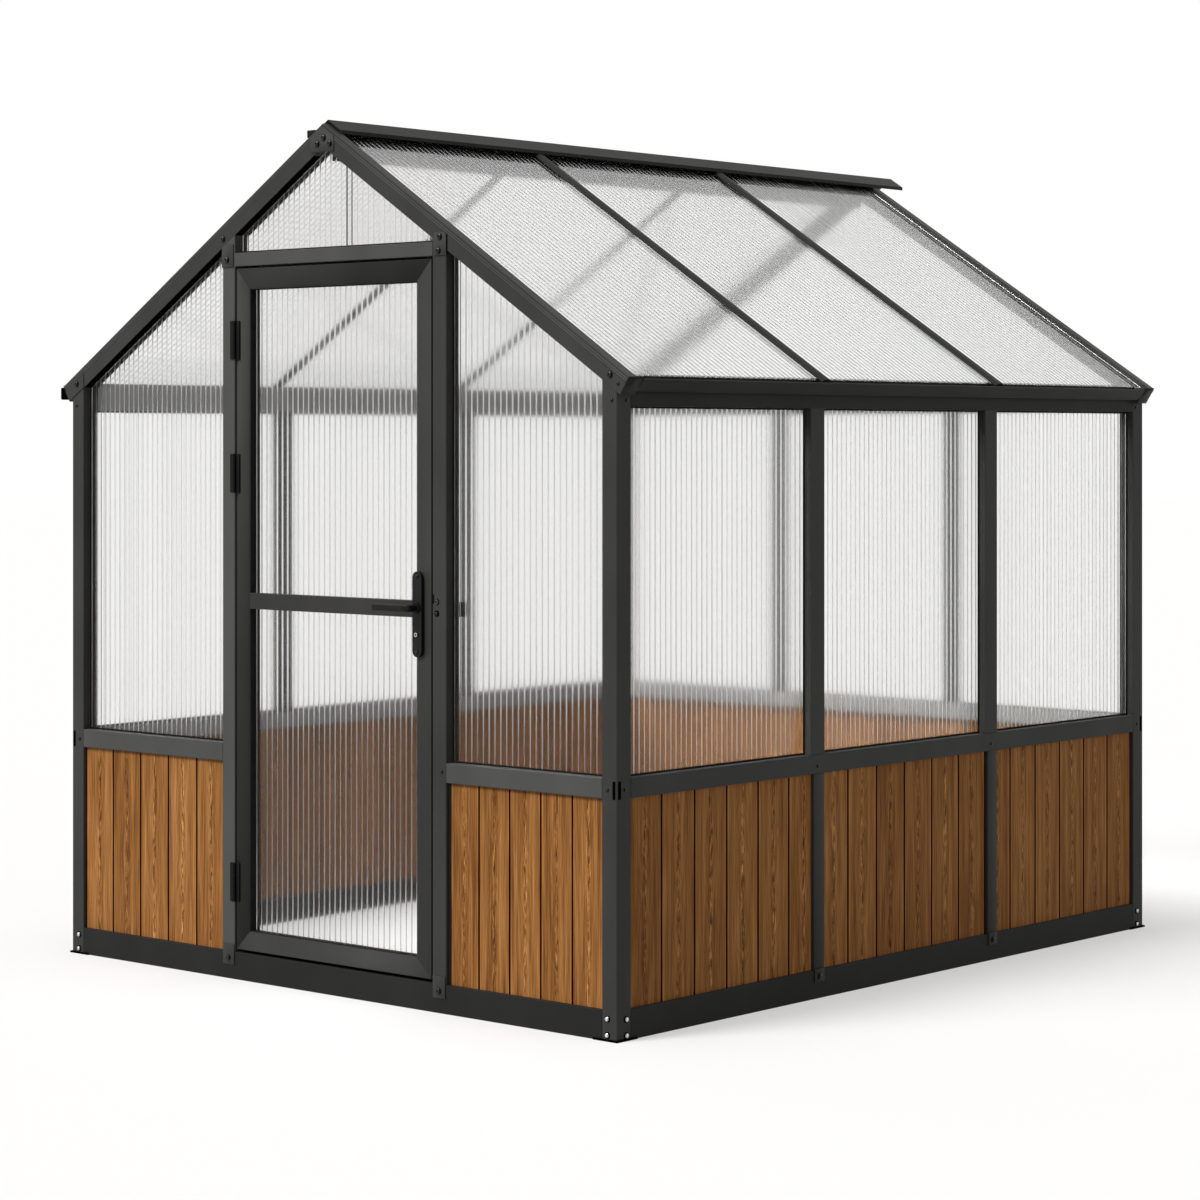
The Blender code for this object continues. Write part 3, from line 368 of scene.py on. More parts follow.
def reeded_glazing(name, axis, start, pitch):
    nodes = Finish(name)
    calc = nodes.calc
    count = calc("DIVIDE", calc("SUBTRACT", nodes.split(nodes.place)[axis], start), pitch)
    away = calc("ABSOLUTE", calc("SUBTRACT", calc("FRACT", count), 0.5))
    milky = nodes.eased(away, 0.5 - RIB, 0.5 - RIB * 0.45)
    varied = calc("MULTIPLY", milky, calc("MULTIPLY_ADD", nodes.chance(calc("ROUND", count)), 0.45, 0.65))
    nodes.shade({
        "Transmission Weight": calc("MULTIPLY_ADD", varied, -0.040, 0.996),
        "Roughness": calc("MULTIPLY_ADD", varied, 0.24, 0.065),
        "Base Color": nodes.ramp(varied, [(0.0, CLEAR), (1.0, MILKY)]),
        "IOR": 1.42, "Specular Tint": (0.14, 0.14, 0.14, 1.0),
    })
    to_lamp = nodes.add("ShaderNodeLightPath").outputs["Is Shadow Ray"]
    lamp_light = nodes.add("ShaderNodeBsdfTransparent", {"Color": (0.90, 0.90, 0.89, 1.0)}).outputs[0]
    nodes.surface(to_lamp, nodes.shader.outputs[0], lamp_light)
    return nodes.material


print("reed pitch", REED)

# %% [markdown]
# ## Small tools for modelling
# Everything below is made with the same few moves: add a primitive at its size and place, bevel it, cut it
# with a plane, and join what belongs together.

# %% Selecting, dressing and joining
def take(piece):
    """Make one object the only selected and the active one."""
    if bpy.context.mode != "OBJECT":
        bpy.ops.object.mode_set(mode="OBJECT")
    bpy.ops.object.select_all(action="DESELECT")
    piece.select_set(True)
    bpy.context.view_layer.objects.active = piece


@contextlib.contextmanager
def editing(piece, select=None, kind=None):
    """Edit mode on one piece. What is selected in it stays so, unless select or kind says otherwise."""
    take(piece)
    bpy.ops.object.mode_set(mode="EDIT")
    if kind:
        bpy.ops.mesh.select_mode(type=kind)
    if select:
        bpy.ops.mesh.select_all(action=select)
    yield
    bpy.ops.object.mode_set(mode="OBJECT")


def settle():
    """Move the active object's place, turn and scale into its mesh."""
    bpy.ops.object.transform_apply(location=True, rotation=True, scale=True)


def smooth(degrees):
    bpy.ops.object.shade_smooth_by_angle(angle=math.radians(degrees))


def block(name, corner, opposite, bevel=0.0012, segments=2):
    """A cube primitive between two opposite corners, with its edges bevelled."""
    low, high = zip(*(sorted(ends) for ends in zip(corner, opposite)))
    centre = [(a + b) / 2 for a, b in zip(low, high)]
    size = [b - a for a, b in zip(low, high)]
    bpy.ops.object.select_all(action="DESELECT")
    bpy.ops.mesh.primitive_cube_add(size=1, location=centre, scale=size)
    piece = bpy.context.object
    piece.name = name
    settle()
    with editing(piece, "SELECT"):
        bpy.ops.mesh.bevel(offset=bevel, segments=segments, affect="EDGES")
    smooth(30)
    return piece


def cylinder(sides, radius, depth, place):
    """A closed cylinder primitive that stands along Z, its middle at a place."""
    bpy.ops.object.select_all(action="DESELECT")
    bpy.ops.mesh.primitive_cylinder_add(vertices=sides, radius=radius, depth=depth, location=place,
                                        end_fill_type="NGON")
    settle()
    return bpy.context.object


def joined(name, pieces):
    """Join several objects into one."""
    take(pieces[0])
    for piece in pieces[1:]:
        piece.select_set(True)
    if len(pieces) > 1:
        bpy.ops.object.join()
    bpy.context.object.name = name
    return bpy.context.object


def dress(piece, finish, body):
    """Give a piece its finish and the body that it rides on."""
    recoat(piece, finish)
    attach(piece, body)
    return piece


def fit(name, pieces, finish, body="frame"):
    """Join pieces under a name and dress them."""
    return dress(joined(name, pieces), finish, body)


def cut(piece, point, normal):
    """Bisect a piece with a plane, drop what lies beyond it and close the cut."""
    with editing(piece, "SELECT"):
        bpy.ops.mesh.bisect(plane_co=point, plane_no=normal, clear_outer=True, use_fill=True)


def stand(piece, turns, place):
    """Turn a piece and put it in its place."""
    take(piece)
    piece.rotation_euler = turns
    piece.location = place
    settle()


def pick(piece, kind, test):
    """Select the vertices or the faces that pass a test, and nothing else."""
    with editing(piece, "DESELECT", kind):
        pass
    for element in piece.data.vertices if kind == "VERT" else piece.data.polygons:
        element.select = test(element)


print("modelling tools ready")

# %% [markdown]
# ## The frame members
# The rails, posts, plates and rafters have the right shape already, with a chamfer along every edge, so
# they only take a finish. A member is known by the start of its name, and one that isn't in the list takes
# the frame's own coat.

# %% Coat every member that stays
# The darker coat is painted shade on the base rails, eave plates, roof bars and ridge; the paler coat is
# painted light on the front sill, the header and the left jamb; the side and rear sills carry painted light
# on their inner faces.
coats = [
    (("base_rail", "eave_", "roof_bar", "ridge"), shaded_coat), (("door_rail", "door_stile"), door_coat),
    (("sill_front", "door_header", "door_jamb_left"), lit_coat), (("sill_left", "sill_right"), coat_lit_inside),
    (("sill_rear",), rear_coat_lit_inside), (("handle_plate", "lever"), black_metal), (("hinge_",), hinge_black),
    (("latch_bolt",), zinc), (("lock_plug",), dark_bolt),
]
for name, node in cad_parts.items():
    if not name.startswith(("boards_", "pane_", "door_pane")):
        recoat(node, next((coat for starts, coat in coats if name.startswith(starts)), frame_coat))
print("coated", len(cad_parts), "members")

# %% [markdown]
# ## The glazing sheets
# One reed is a narrow strip of a grid: flat, with its outer columns moved up into half a rib at either
# side. An Array modifier repeats it across the pane, and Solidify gives it its thickness. The back is then
# pressed flat, so that the ribs stand on one face only and bend what is seen through them. The sheet is
# made flat on the floor, with the ribs along Y, and then stood up in its wall.

# %% One reed, repeated into a flat sheet
RIB_RISE = 0.0012
RIB_COLUMNS = [(0.0, 1.0), (0.04, 0.75), (0.08, 0.25), (0.12, 0.0), (0.17, 0.0)]
REED_COLUMNS = RIB_COLUMNS + [(1 - place, rise) for place, rise in reversed(RIB_COLUMNS)]
SHEET_WALL = 0.0014


def reed_strip(pitch, length):
    """One reed: a strip along Y whose columns stand at their places across one pitch."""
    steps = len(REED_COLUMNS) - 1
    bpy.ops.object.select_all(action="DESELECT")
    bpy.ops.mesh.primitive_grid_add(x_subdivisions=steps, y_subdivisions=1, size=1)
    strip = bpy.context.object
    strip.location = (pitch / 2, length / 2, 0)
    strip.scale = (pitch, length, 1)
    settle()
    columns = [[corner.index for corner in strip.data.vertices
                if abs(corner.co.x - pitch * step / steps) < 1e-4] for step in range(steps + 1)]
    for step, (place, rise) in enumerate(REED_COLUMNS):
        pick(strip, "VERT", lambda corner: corner.index in columns[step])
        with editing(strip):
            bpy.ops.transform.translate(value=(pitch * (place - step / steps), 0, RIB_RISE * rise))
    return strip


def flat_sheet(name, width, length):
    """Reeds side by side over a whole pane: ribs above, a flat back below."""
    count = max(1, round(width / REED))
    sheet = reed_strip(width / count, length)
    sheet.name = name
    row = sheet.modifiers.new("reeds", "ARRAY")
    row.count = count
    row.use_merge_vertices = True
    row.merge_threshold = 1e-5
    bpy.ops.object.modifier_apply(modifier="reeds")
    wall = sheet.modifiers.new("wall", "SOLIDIFY")
    wall.thickness = SHEET_WALL
    wall.offset = -1.0
    first_back = len(sheet.data.vertices)
    bpy.ops.object.modifier_apply(modifier="wall")
    pick(sheet, "VERT", lambda corner: corner.index >= first_back)
    with editing(sheet):
        bpy.ops.transform.resize(value=(1, 1, 0), center_override=(0, 0, -SHEET_WALL))
    return sheet, width / count


print("ribs", RIB_RISE * 1000, "mm high on sheets of", SHEET_WALL * 1000, "mm")

# %% [markdown]
# Standing a sheet up is a turn about X, and for the side walls another about Z. The middle of the sheet
# lies in the middle of the space that the engineering model keeps for it.

# %% Upright sheets for the walls, the gables and the door
EDGE_AIR = 0.001
RIGHT_ANGLE = math.radians(90)


def finish_sheet(sheet, node, axis, start, pitch, body):
    """Smooth a sheet, dress it and let it take the place of its node."""
    with editing(sheet, "SELECT"):
        bpy.ops.mesh.normals_make_consistent(inside=False)
    smooth(50)
    dress(sheet, reeded_glazing(f"glazing_{node}", axis, start, pitch), body)
    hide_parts(node)
    print(sheet.name, len(sheet.data.polygons), "faces, reeds of", round(pitch * 1000, 1), "mm")


def wall_sheet(node, axis, body):
    low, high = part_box(node)
    near, far = ((corner.x if axis == "X" else corner.y) for corner in (low, high))
    sheet, pitch = flat_sheet(f"sheet_{node}", far - near - 2 * EDGE_AIR, high.z - low.z - 2 * EDGE_AIR)
    start, foot = near + EDGE_AIR, low.z + EDGE_AIR
    if axis == "X":
        depth = (low.y + high.y) / 2
        stand(sheet, (RIGHT_ANGLE, 0, 0), (start, depth, foot))
        if high.z > EAVE + 0.01 and node != "door_pane":
            for side in (-1, 1):
                cut(sheet, (0, depth, roof_line(0, -RAFTER - SEAT)), out_of_slope(side))
    else:
        stand(sheet, (RIGHT_ANGLE, 0, RIGHT_ANGLE), ((low.x + high.x) / 2, start, foot))
    finish_sheet(sheet, node, axis, start, pitch, body)


for node in ("pane_front_left", "pane_front_right", "pane_front_gable", "pane_rear"):
    wall_sheet(node, "X", "frame")
for node in ("pane_wall_left", "pane_wall_right"):
    wall_sheet(node, "Y", "frame")
wall_sheet("door_pane", "X", "door")

# %% [markdown]
# The roof sheets are the same, laid on the slope. Their reeds run down to the gutter, so rain runs along
# them. The flat sheet's X becomes the greenhouse's Y, and its Y runs down the slope.

# %% Roof sheets
SHEET_DROP = 0.013  # from the roof line down to the sheet, square to the slope


def roof_sheet(side_name, side):
    node = f"pane_roof_{side_name}"
    low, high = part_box(node)
    top, foot = sorted((abs(low.x), abs(high.x)))
    length = (foot - top) / math.cos(PITCH) - 0.004
    sheet, pitch = flat_sheet(f"sheet_{node}", high.y - low.y - 2 * EDGE_AIR, length)
    take(sheet)
    turn = Matrix((Vector((0, 1, 0)), down_slope(side), out_of_slope(side))).transposed().to_4x4()
    start = Vector((side * top, low.y + EDGE_AIR, roof_line(top)))
    start += down_slope(side) * 0.003 - out_of_slope(side) * SHEET_DROP
    sheet.matrix_world = Matrix.Translation(start) @ turn
    settle()
    finish_sheet(sheet, node, "Y", low.y + EDGE_AIR, pitch, "frame")


for side_name, side in SIDES.items():
    roof_sheet(side_name, side)

# %% [markdown]
# The solid of an eave plate fills the corner right up to the glazing. The real plate has a level top, so
# light comes in under the foot of the sheet. A copy of the solid gets its loose triangles merged and is cut
# level where its outer edge carries the sheet. That opens its hollow along the top, which a clipped-in lid
# closes.

# %% Eave plates with a level top
PLATE_TOP = 1.6838
for side_name, side in SIDES.items():
    low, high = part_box(f"eave_{side_name}")
    channel = bpy.data.objects.new("channel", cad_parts[f"eave_{side_name}"].data.copy())
    bpy.context.collection.objects.link(channel)
    with editing(channel, "SELECT"):
        bpy.ops.mesh.remove_doubles(threshold=0.00001)
    cut(channel, (0, 0, PLATE_TOP), (0, 0, 1))
    bpy.ops.object.shade_flat()
    lid = block("lid", (side * (HALF - 0.0478), low.y + SEAT, PLATE_TOP - 0.0035),
                (side * (HALF - 0.0045), high.y - SEAT, PLATE_TOP - 0.0003), 0.0004, 1)
    # The plate takes the darker coat, painted shade, with painted light on its inner face.
    plate = fit(f"eave_beam_{side_name}", [channel, lid], shaded_coat_lit_inside)
    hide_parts(f"eave_{side_name}")
    print(plate.name, "faces:", len(plate.data.polygons))

# %% [markdown]
# ## Gaskets
# A rubber strip holds each sheet in its frame. From outside it is the thin black line round every pane. Two
# fine strips mark the seam between the two sheets of the front gable.

# %% Rubber strips round the panes
GASKET = 0.005
GASKET_DEPTH = 0.003
REVEAL, REVEAL_PROUD = 0.009, 0.002  # the strip between a door jamb and its boards
MULLION_HALF = 0.031
gaskets = []


def strip(name, corner, opposite, bevel=0.0008):
    gaskets.append(block(name, corner, opposite, bevel, 1))


for side in (-1, 1):
    wall_low, wall_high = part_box("pane_wall_right")
    x_near = side * (wall_high.x + SEAT)
    x_far = x_near + side * GASKET_DEPTH
    edges = [wall_low.y, *SIDE_MULLIONS, wall_high.y]
    for bay, (near, far) in enumerate(zip(edges, edges[1:])):
        near += SEAT + (MULLION_HALF if bay else 0.0)
        far -= SEAT + (MULLION_HALF if bay < 2 else 0.0)
        for z in (SILL_TOP + SEAT, PLATE_BOTTOM - SEAT - GASKET):
            strip("gasket", (x_near, near, z), (x_far, far, z + GASKET))
        for y in (near, far - GASKET):
            strip("gasket", (x_near, y, SILL_TOP + GASKET + 2 * SEAT),
                  (x_far, y + GASKET, PLATE_BOTTOM - GASKET - 2 * SEAT))
for node in ("pane_front_left", "pane_front_right", "pane_front_gable"):
    low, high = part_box(node)
    y_near, y_far = low.y - SEAT, low.y - SEAT - GASKET_DEPTH
    strip("gasket", (low.x, y_near, low.z + SEAT), (high.x, y_far, low.z + SEAT + GASKET))
    uprights = [(low.x, GASKET, 0.0008), (high.x - GASKET, GASKET, 0.0008)]
    if node == "pane_front_gable":
        uprights = [(0.0672, 0.0026, 0.0004), (0.0870, 0.0016, 0.0004)]
    for x, wide, bevel in uprights:
        top = roof_line(max(abs(x), abs(x + wide)), -RAFTER) - SEAT
        strip("gasket", (x, y_near, low.z + GASKET + 2 * SEAT), (x + wide, y_far, top), bevel)
# A black strip beside each door jamb is painted shade in the recess between the jamb and its boards.
for node in ("boards_front_left", "boards_front_right"):
    low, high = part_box(node)
    near = low.x if low.x > 0 else high.x - REVEAL
    strip("reveal", (near, low.y - REVEAL_PROUD, low.z + SEAT), (near + REVEAL, low.y - SEAT, high.z - SEAT),
          0.0006)
fit("gaskets", gaskets, rubber)
print("gasket strips:", len(gaskets))

# %% [markdown]
# ## The mitred door frame
# The door's frame is four lengths of extrusion cut at 45 degrees and crimped together at the corners. Each
# is a bevelled block, cut by two planes through the corners of the door, so that a fine line crosses each
# corner.

# %% Four mitred lengths
lock_low, lock_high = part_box("door_stile_lock")
rail_low, rail_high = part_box("door_rail_top")
foot_low, foot_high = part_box("door_rail_bottom")
STILE = lock_high.x - lock_low.x
DOOR_LEFT, DOOR_RIGHT = rail_low.x - SEAT - STILE, lock_high.x
DOOR_FACE, DOOR_BACK = lock_low.y, lock_high.y
DOOR_BOTTOM, DOOR_TOP = foot_low.z, rail_high.z
LIGHT_LEFT, LIGHT_RIGHT = DOOR_LEFT + STILE, DOOR_RIGHT - STILE
LIGHT_BOTTOM, LIGHT_TOP = foot_high.z, rail_low.z
MITRE_AIR = 0.0003
CORNERS = [((x_out, z_out), (x_in, z_in))
           for z_out, z_in in ((DOOR_TOP, LIGHT_TOP), (DOOR_BOTTOM, LIGHT_BOTTOM))
           for x_out, x_in in ((DOOR_LEFT, LIGHT_LEFT), (DOOR_RIGHT, LIGHT_RIGHT))]


def mitred(name, x0, z0, x1, z1):
    """One length of the door's frame, cut at the two corners of the door that it reaches."""
    member = block(name, (x0, DOOR_FACE, z0), (x1, DOOR_BACK, z1), 0.0015)
    middle = Vector(((x0 + x1) / 2, 0, (z0 + z1) / 2))
    for (x_out, z_out), (x_in, z_in) in CORNERS:
        if x_out in (x0, x1) and z_out in (z0, z1):
            corner = Vector((x_out, 0, z_out))
            line = Vector((x_in - x_out, 0, z_in - z_out)).normalized()
            away = Vector((-line.z, 0, line.x))
            if away.dot(middle - corner) > 0:
                away = -away
            cut(member, corner - away * MITRE_AIR, away)
    return dress(member, door_coat, "door")


hinge_member = mitred("door_member_hinge", DOOR_LEFT, DOOR_BOTTOM, LIGHT_LEFT, DOOR_TOP)
lock_member = mitred("door_member_lock", LIGHT_RIGHT, DOOR_BOTTOM, DOOR_RIGHT, DOOR_TOP)
top_member = mitred("door_member_top", DOOR_LEFT, LIGHT_TOP, DOOR_RIGHT, DOOR_TOP)
bottom_member = mitred("door_member_bottom", DOOR_LEFT, DOOR_BOTTOM, DOOR_RIGHT, LIGHT_BOTTOM)
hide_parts("door_stile_hinge")
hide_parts("door_stile_lock")
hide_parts("door_rail_top")
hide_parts("door_rail_bottom")
print("door from", round(DOOR_LEFT, 4), "to", round(DOOR_RIGHT, 4))

# %% [markdown]
# A rubber strip lines the inside of the frame in front of the pane, and a black stop on the jambs, the header
# and the threshold stands behind the gap round the door: its black is painted shade, so the gap shows dark.

# %% The pane's lining and the door's stops
LINING, LINING_AIR = 0.002, 0.003
pane_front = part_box("door_pane")[0].y - SEAT
lining = [block("lining", (x, DOOR_FACE + LINING_AIR, LIGHT_BOTTOM + LINING_AIR),
                (x + LINING, pane_front, LIGHT_TOP - LINING_AIR), 0.0004, 1)
          for x in (LIGHT_LEFT + SEAT, LIGHT_RIGHT - SEAT - LINING)]
lining += [block("lining", (LIGHT_LEFT + LINING_AIR, DOOR_FACE + LINING_AIR, z),
                 (LIGHT_RIGHT - LINING_AIR, pane_front, z + LINING), 0.0004, 1)
           for z in (LIGHT_BOTTOM + SEAT, LIGHT_TOP - SEAT - LINING)]
fit("pane_lining", lining, rubber, "door")
header_low, header_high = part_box("door_header")
JAMB_LEFT, JAMB_RIGHT = header_low.x - SEAT, header_high.x + SEAT
STOP_LAP, STOP_NEAR, STOP_FAR = 0.014, DOOR_BACK + 0.0015, DOOR_BACK + 0.0065
lap_left, lap_right = JAMB_LEFT + STOP_LAP, JAMB_RIGHT - STOP_LAP
stop_bottom, stop_top = BASE_TOP + SEAT, header_low.z - SEAT
stops = [block("stop", (x0, STOP_NEAR, z0), (x1, STOP_FAR, z1)) for x0, z0, x1, z1 in (
    (JAMB_LEFT + SEAT, stop_bottom, lap_left, stop_top),
    (lap_right, stop_bottom, JAMB_RIGHT - SEAT, stop_top),
    (lap_left, header_low.z - STOP_LAP, lap_right, stop_top),
    (lap_left, stop_bottom, lap_right, BASE_TOP + 0.016))]
fit("door_stops", stops, painted_shade_black)
print("lining strips:", len(lining), "stops:", len(stops))

# %% [markdown]
# ### The hinges' door side
# Each hinge is a black block with a barrel of three knuckles. The frame's member carries two knuckles and
# the pin; the middle knuckle and its leaf belong to the door and turn with it.

# %% Middle knuckles and leaves
HINGE_X, HINGE_Y = (JAMB_LEFT + DOOR_LEFT) / 2, -0.031
KNUCKLE, KNUCKLE_WALL = 0.0055, 0.0012
straps = []
for level in ("bottom", "middle", "top"):
    low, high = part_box(f"hinge_{level}")
    third = (high.z - low.z) / 3
    z_low, z_high = low.z + third, high.z - third
    straps.append(block("strap", (HINGE_X + 0.0067, DOOR_FACE - 0.0053, low.z),
                        (HINGE_X + 0.0187, DOOR_FACE - SEAT, high.z), 0.001))
    straps.append(block("strap_tongue", (HINGE_X + 0.002, FRONT - 0.0033, z_low),
                        (HINGE_X + 0.0075, FRONT - SEAT, z_high), 0.0004, 1))
    knuckle = cylinder(24, KNUCKLE, third, (HINGE_X, HINGE_Y, (z_low + z_high) / 2))
    pick(knuckle, "FACE", lambda face: abs(face.normal.z) > 0.9)
    with editing(knuckle):
        bpy.ops.mesh.inset(thickness=0.0019)
        bpy.ops.mesh.delete(type="FACE")
    wall = knuckle.modifiers.new("bore", "SOLIDIFY")
    wall.thickness = KNUCKLE_WALL
    wall.offset = -1.0
    bpy.ops.object.modifier_apply(modifier="bore")
    smooth(35)
    straps.append(knuckle)
fit("hinge_door_side", straps, hinge_black, "door")
print("hinge pieces on the door:", len(straps))

# %% [markdown]
# ## Bolts and screws
# The frame is held together by dome-headed bolts on washers. A cylinder gives the washer; its top is inset
# and drawn out into a head, which is narrowed into a dome, and a recess takes the driver. One is modelled,
# lying flat, and copied to every place, turned to face out of the surface that it sits on.

# %% One bolt, facing up
def dome_bolt(radius, proud, washer):
    """A washer with a domed head and a socket, seated on z = 0."""
    bolt = cylinder(16, washer, proud * 0.35, (0, 0, proud * 0.175))
    pick(bolt, "FACE", lambda face: face.normal.z > 0.9)
    with editing(bolt):
        bpy.ops.mesh.inset(thickness=washer - radius)
        for height in (0.4, 0.25):
            bpy.ops.mesh.extrude_region_move(TRANSFORM_OT_translate={"value": (0, 0, proud * height)})
        bpy.ops.transform.resize(value=(0.62, 0.62, 1.0), center_override=(0, 0, 0))
        bpy.ops.mesh.inset(thickness=radius * 0.3)
        bpy.ops.mesh.extrude_region_move(TRANSFORM_OT_translate={"value": (0, 0, -proud * 0.3)})
    smooth(50)
    return bolt


def disc(radius, thick):
    """A washer, its rim rounded, seated on z = 0."""
    washer = cylinder(20, radius, thick, (0, 0, thick / 2))
    pick(washer, "FACE", lambda face: face.normal.z > 0.9)
    with editing(washer):
        bpy.ops.mesh.bevel(offset=thick * 0.4, segments=2, affect="EDGES")
    smooth(50)
    return washer


def copies(template, places):
    """Copies of a bolt, each with its own mesh, turned to face out at (point, direction)."""
    made = []
    for point, out in places:
        take(template)
        bpy.ops.object.duplicate()
        made.append(bpy.context.object)
        stand(made[-1], Vector((0, 0, 1)).rotation_difference(Vector(out)).to_euler(), point)
    return made


def raised(places, height):
    """The same places, moved out along their directions."""
    return [(Vector(point) + Vector(out) * height, out) for point, out in places]


def on_end(x, z, end=-1, proud=0.0):
    """A place on an end wall and the way out of it: -1 is the front and 1 the rear."""
    return (x, (FRONT if end < 0 else REAR) + end * proud, z), (0, end, 0)


def on_side(side, y, z, proud=0.0):
    """A place on a side wall and the way out of it: -1 is the left and 1 the right."""
    return (side * (HALF + proud), y, z), (side, 0, 0)


WASHER = 0.0014
big_bolt = dome_bolt(0.0074, 0.0062, 0.0094)
foot_head = dome_bolt(0.0050, 0.0050, 0.0056)
foot_washer = disc(0.0085, WASHER)
small_bolt = dome_bolt(0.0040, 0.0038, 0.0053)
print("bolt faces:", len(big_bolt.data.polygons))

# %% [markdown]
# ## Feet
# The foot of each corner post is screwed to the two base rails with two bolts a face: bright zinc heads on
# washers that are black as painted shade round each head. A plate lies under the post and shows as a thin L
# on the ground; it is black as painted shade.

# %% Bright bolts on washers, and the plates on the ground, the washers and plates black as painted shade
FOOT_BOLTS = (0.0565, 0.0155)  # heights of the two bolts
FLANGE = 0.0055  # how far the foot plate stands out, and how thick it is
foot_bolts, foot_plates = [], []
for side, end, face in POSTS:
    for z in FOOT_BOLTS:
        foot_bolts += [on_end(side * (HALF - 0.031), z, end), on_side(side, face - end * 0.0355, z - 0.002)]
    tip = side * (HALF + FLANGE)
    foot_plates.append(block("foot_plate", (side * (HALF - 0.077), face + end * SEAT, 0.0),
                             (tip, face + end * FLANGE, FLANGE), 0.0008))
    foot_plates.append(block("foot_plate", (side * (HALF + SEAT), face - end * 0.076, 0.0),
                             (tip, face, FLANGE), 0.0008))
# The plates and the washers are black as painted shade.
fit("foot_plates", foot_plates, painted_shade_black)
fit("foot_washers", copies(foot_washer, foot_bolts), painted_shade_black)
fit("foot_bolts", copies(foot_head, raised(foot_bolts, WASHER)), zinc)
print("foot bolts:", len(foot_bolts))

# %% [markdown]
# ## Sill corners
# Beside each corner of the post, level with the sills, an upright slot on either face takes the hook of the
# sill's bracket; the edge of the post stands between the two slots as a light line. One small bolt holds each
# hook. A slot is shown as a black inlay, painted shade for its depth.

# %% Slots and hook bolts
SLOT_BOTTOM, SLOT_TOP = 0.611, 0.657
HOOK = 0.032  # from the post's corner to the hook bolt
INLAY_NEAR, INLAY_FAR = 0.0001, 0.0011  # the inlay's back and front, off the post's face
slots, sill_bolts = [], []
for side, end, face in POSTS:
    slots.append(block("slot", (side * (HALF - 0.0140), face + end * INLAY_NEAR, SLOT_BOTTOM),
                       (side * (HALF - 0.0046), face + end * INLAY_FAR, SLOT_TOP), 0.0004, 1))
    slots.append(block("slot", (side * (HALF + INLAY_NEAR), face - end * 0.0155, SLOT_BOTTOM),
                       (side * (HALF + INLAY_FAR), face - end * 0.0050, SLOT_TOP), 0.0004, 1))
    middle = (SLOT_BOTTOM + SLOT_TOP) / 2
    sill_bolts += [on_end(side * (HALF - HOOK), middle, end), on_side(side, face - end * HOOK, middle)]
fit("sill_slots", slots, painted_shade_black)
print("slots:", len(slots))

# %% [markdown]
# ## Battens below the mullions
# A flat batten runs from the sill to the base rail under each mullion, over the joint between two panels of
# boards, and a lug at its foot is bolted to the base rail.

# %% Battens, lugs and bolts
BATTEN = 0.047
LUG = 0.003  # thickness of a lug
LUG_BOTTOM, LUG_TOP = 0.0445, BASE_TOP + 0.004
BATTEN_BOTTOM, BATTEN_TOP = BASE_TOP + SEAT, SILL_BOTTOM - SEAT
LUG_BOLT = 0.0605
battens, lug_bolts = [], []
x_board, y_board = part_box("boards_right")[1].x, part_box("boards_rear")[1].y
for side in (-1, 1):
    for middle in SIDE_MULLIONS:
        near, far = middle + MULLION_HALF - BATTEN, middle + MULLION_HALF
        battens.append(block("batten", (side * (x_board + SEAT), near, BATTEN_BOTTOM),
                             (side * (HALF - 0.001), far, BATTEN_TOP), 0.0015))
        battens.append(block("lug", (side * (HALF + SEAT), near, LUG_BOTTOM),
                             (side * (HALF + LUG), far - 0.004, LUG_TOP), 0.001))
        lug_bolts.append(on_side(side, far - BATTEN / 2 - 0.002, LUG_BOLT, LUG))
for middle in REAR_POSTS:
    near, far = middle - BATTEN / 2, middle + BATTEN / 2
    battens.append(block("batten", (near, y_board + SEAT, BATTEN_BOTTOM),
                         (far, REAR - 0.001, BATTEN_TOP), 0.0015))
    battens.append(block("lug", (near, REAR + SEAT, LUG_BOTTOM), (far, REAR + LUG, LUG_TOP), 0.001))
    lug_bolts.append(on_end(middle, LUG_BOLT, 1, LUG))
fit("battens", battens, frame_coat)
print("battens and lugs:", len(battens))

# %% [markdown]
# ## Door jambs: feet and heads
# The foot of each jamb is a lug over the base rail. At the head of the right jamb a plate with a rounded
# top laps the rafter, with a bolt through each; at the left jamb the plate stays below the rafter, and the
# second bolt goes through the rafter itself.

# %% Lugs and head plates
PLATE_FACE = FRONT - LUG
HEAD_LEFT, HEAD_RIGHT, HEAD_TOP = 0.4233, 0.4711, 2.068
jamb_plates = []
for x_low, x_high in ((-0.402, -0.356), (0.422, 0.467)):
    jamb_plates.append(block("jamb_lug", (x_low, PLATE_FACE, 0.040),
                             (x_high, FRONT - SEAT, BASE_TOP + 0.022)))
    lug_bolts.append(on_end((x_low + x_high) / 2, 0.0600, proud=LUG))
right_plate = block("head_plate", (HEAD_LEFT, PLATE_FACE, 2.0055),
                    (HEAD_RIGHT, FRONT - SEAT, HEAD_TOP), 0.0010)
cut(right_plate, (HEAD_LEFT + 0.007, 0, HEAD_TOP), (-1, 0, 1))
cut(right_plate, (HEAD_RIGHT - 0.007, 0, HEAD_TOP), (1, 0, 1))
left_plate = block("head_plate", (-0.407, PLATE_FACE, 2.003), (-0.360, FRONT - SEAT, HEAD_TOP), 0.0010)
cut(left_plate, (0, FRONT, roof_line(0, -RAFTER)), out_of_slope(-1))
jamb_plates += [right_plate, left_plate]
shadow_line = block("plate_shadow", (0.4715, FRONT - 0.0022, 2.006), (0.4738, FRONT - SEAT, 2.060), 0.0004, 1)
gusset_bolts = [on_end(-0.4051, 2.0847), on_end(-0.385, 2.0244, proud=LUG), on_end(0.448, 2.0560, proud=LUG),
                on_end(0.4428, 2.0185, proud=LUG)]
fit("jamb_plates", jamb_plates, frame_coat)
fit("plate_shadow", [shadow_line], painted_shade_black)
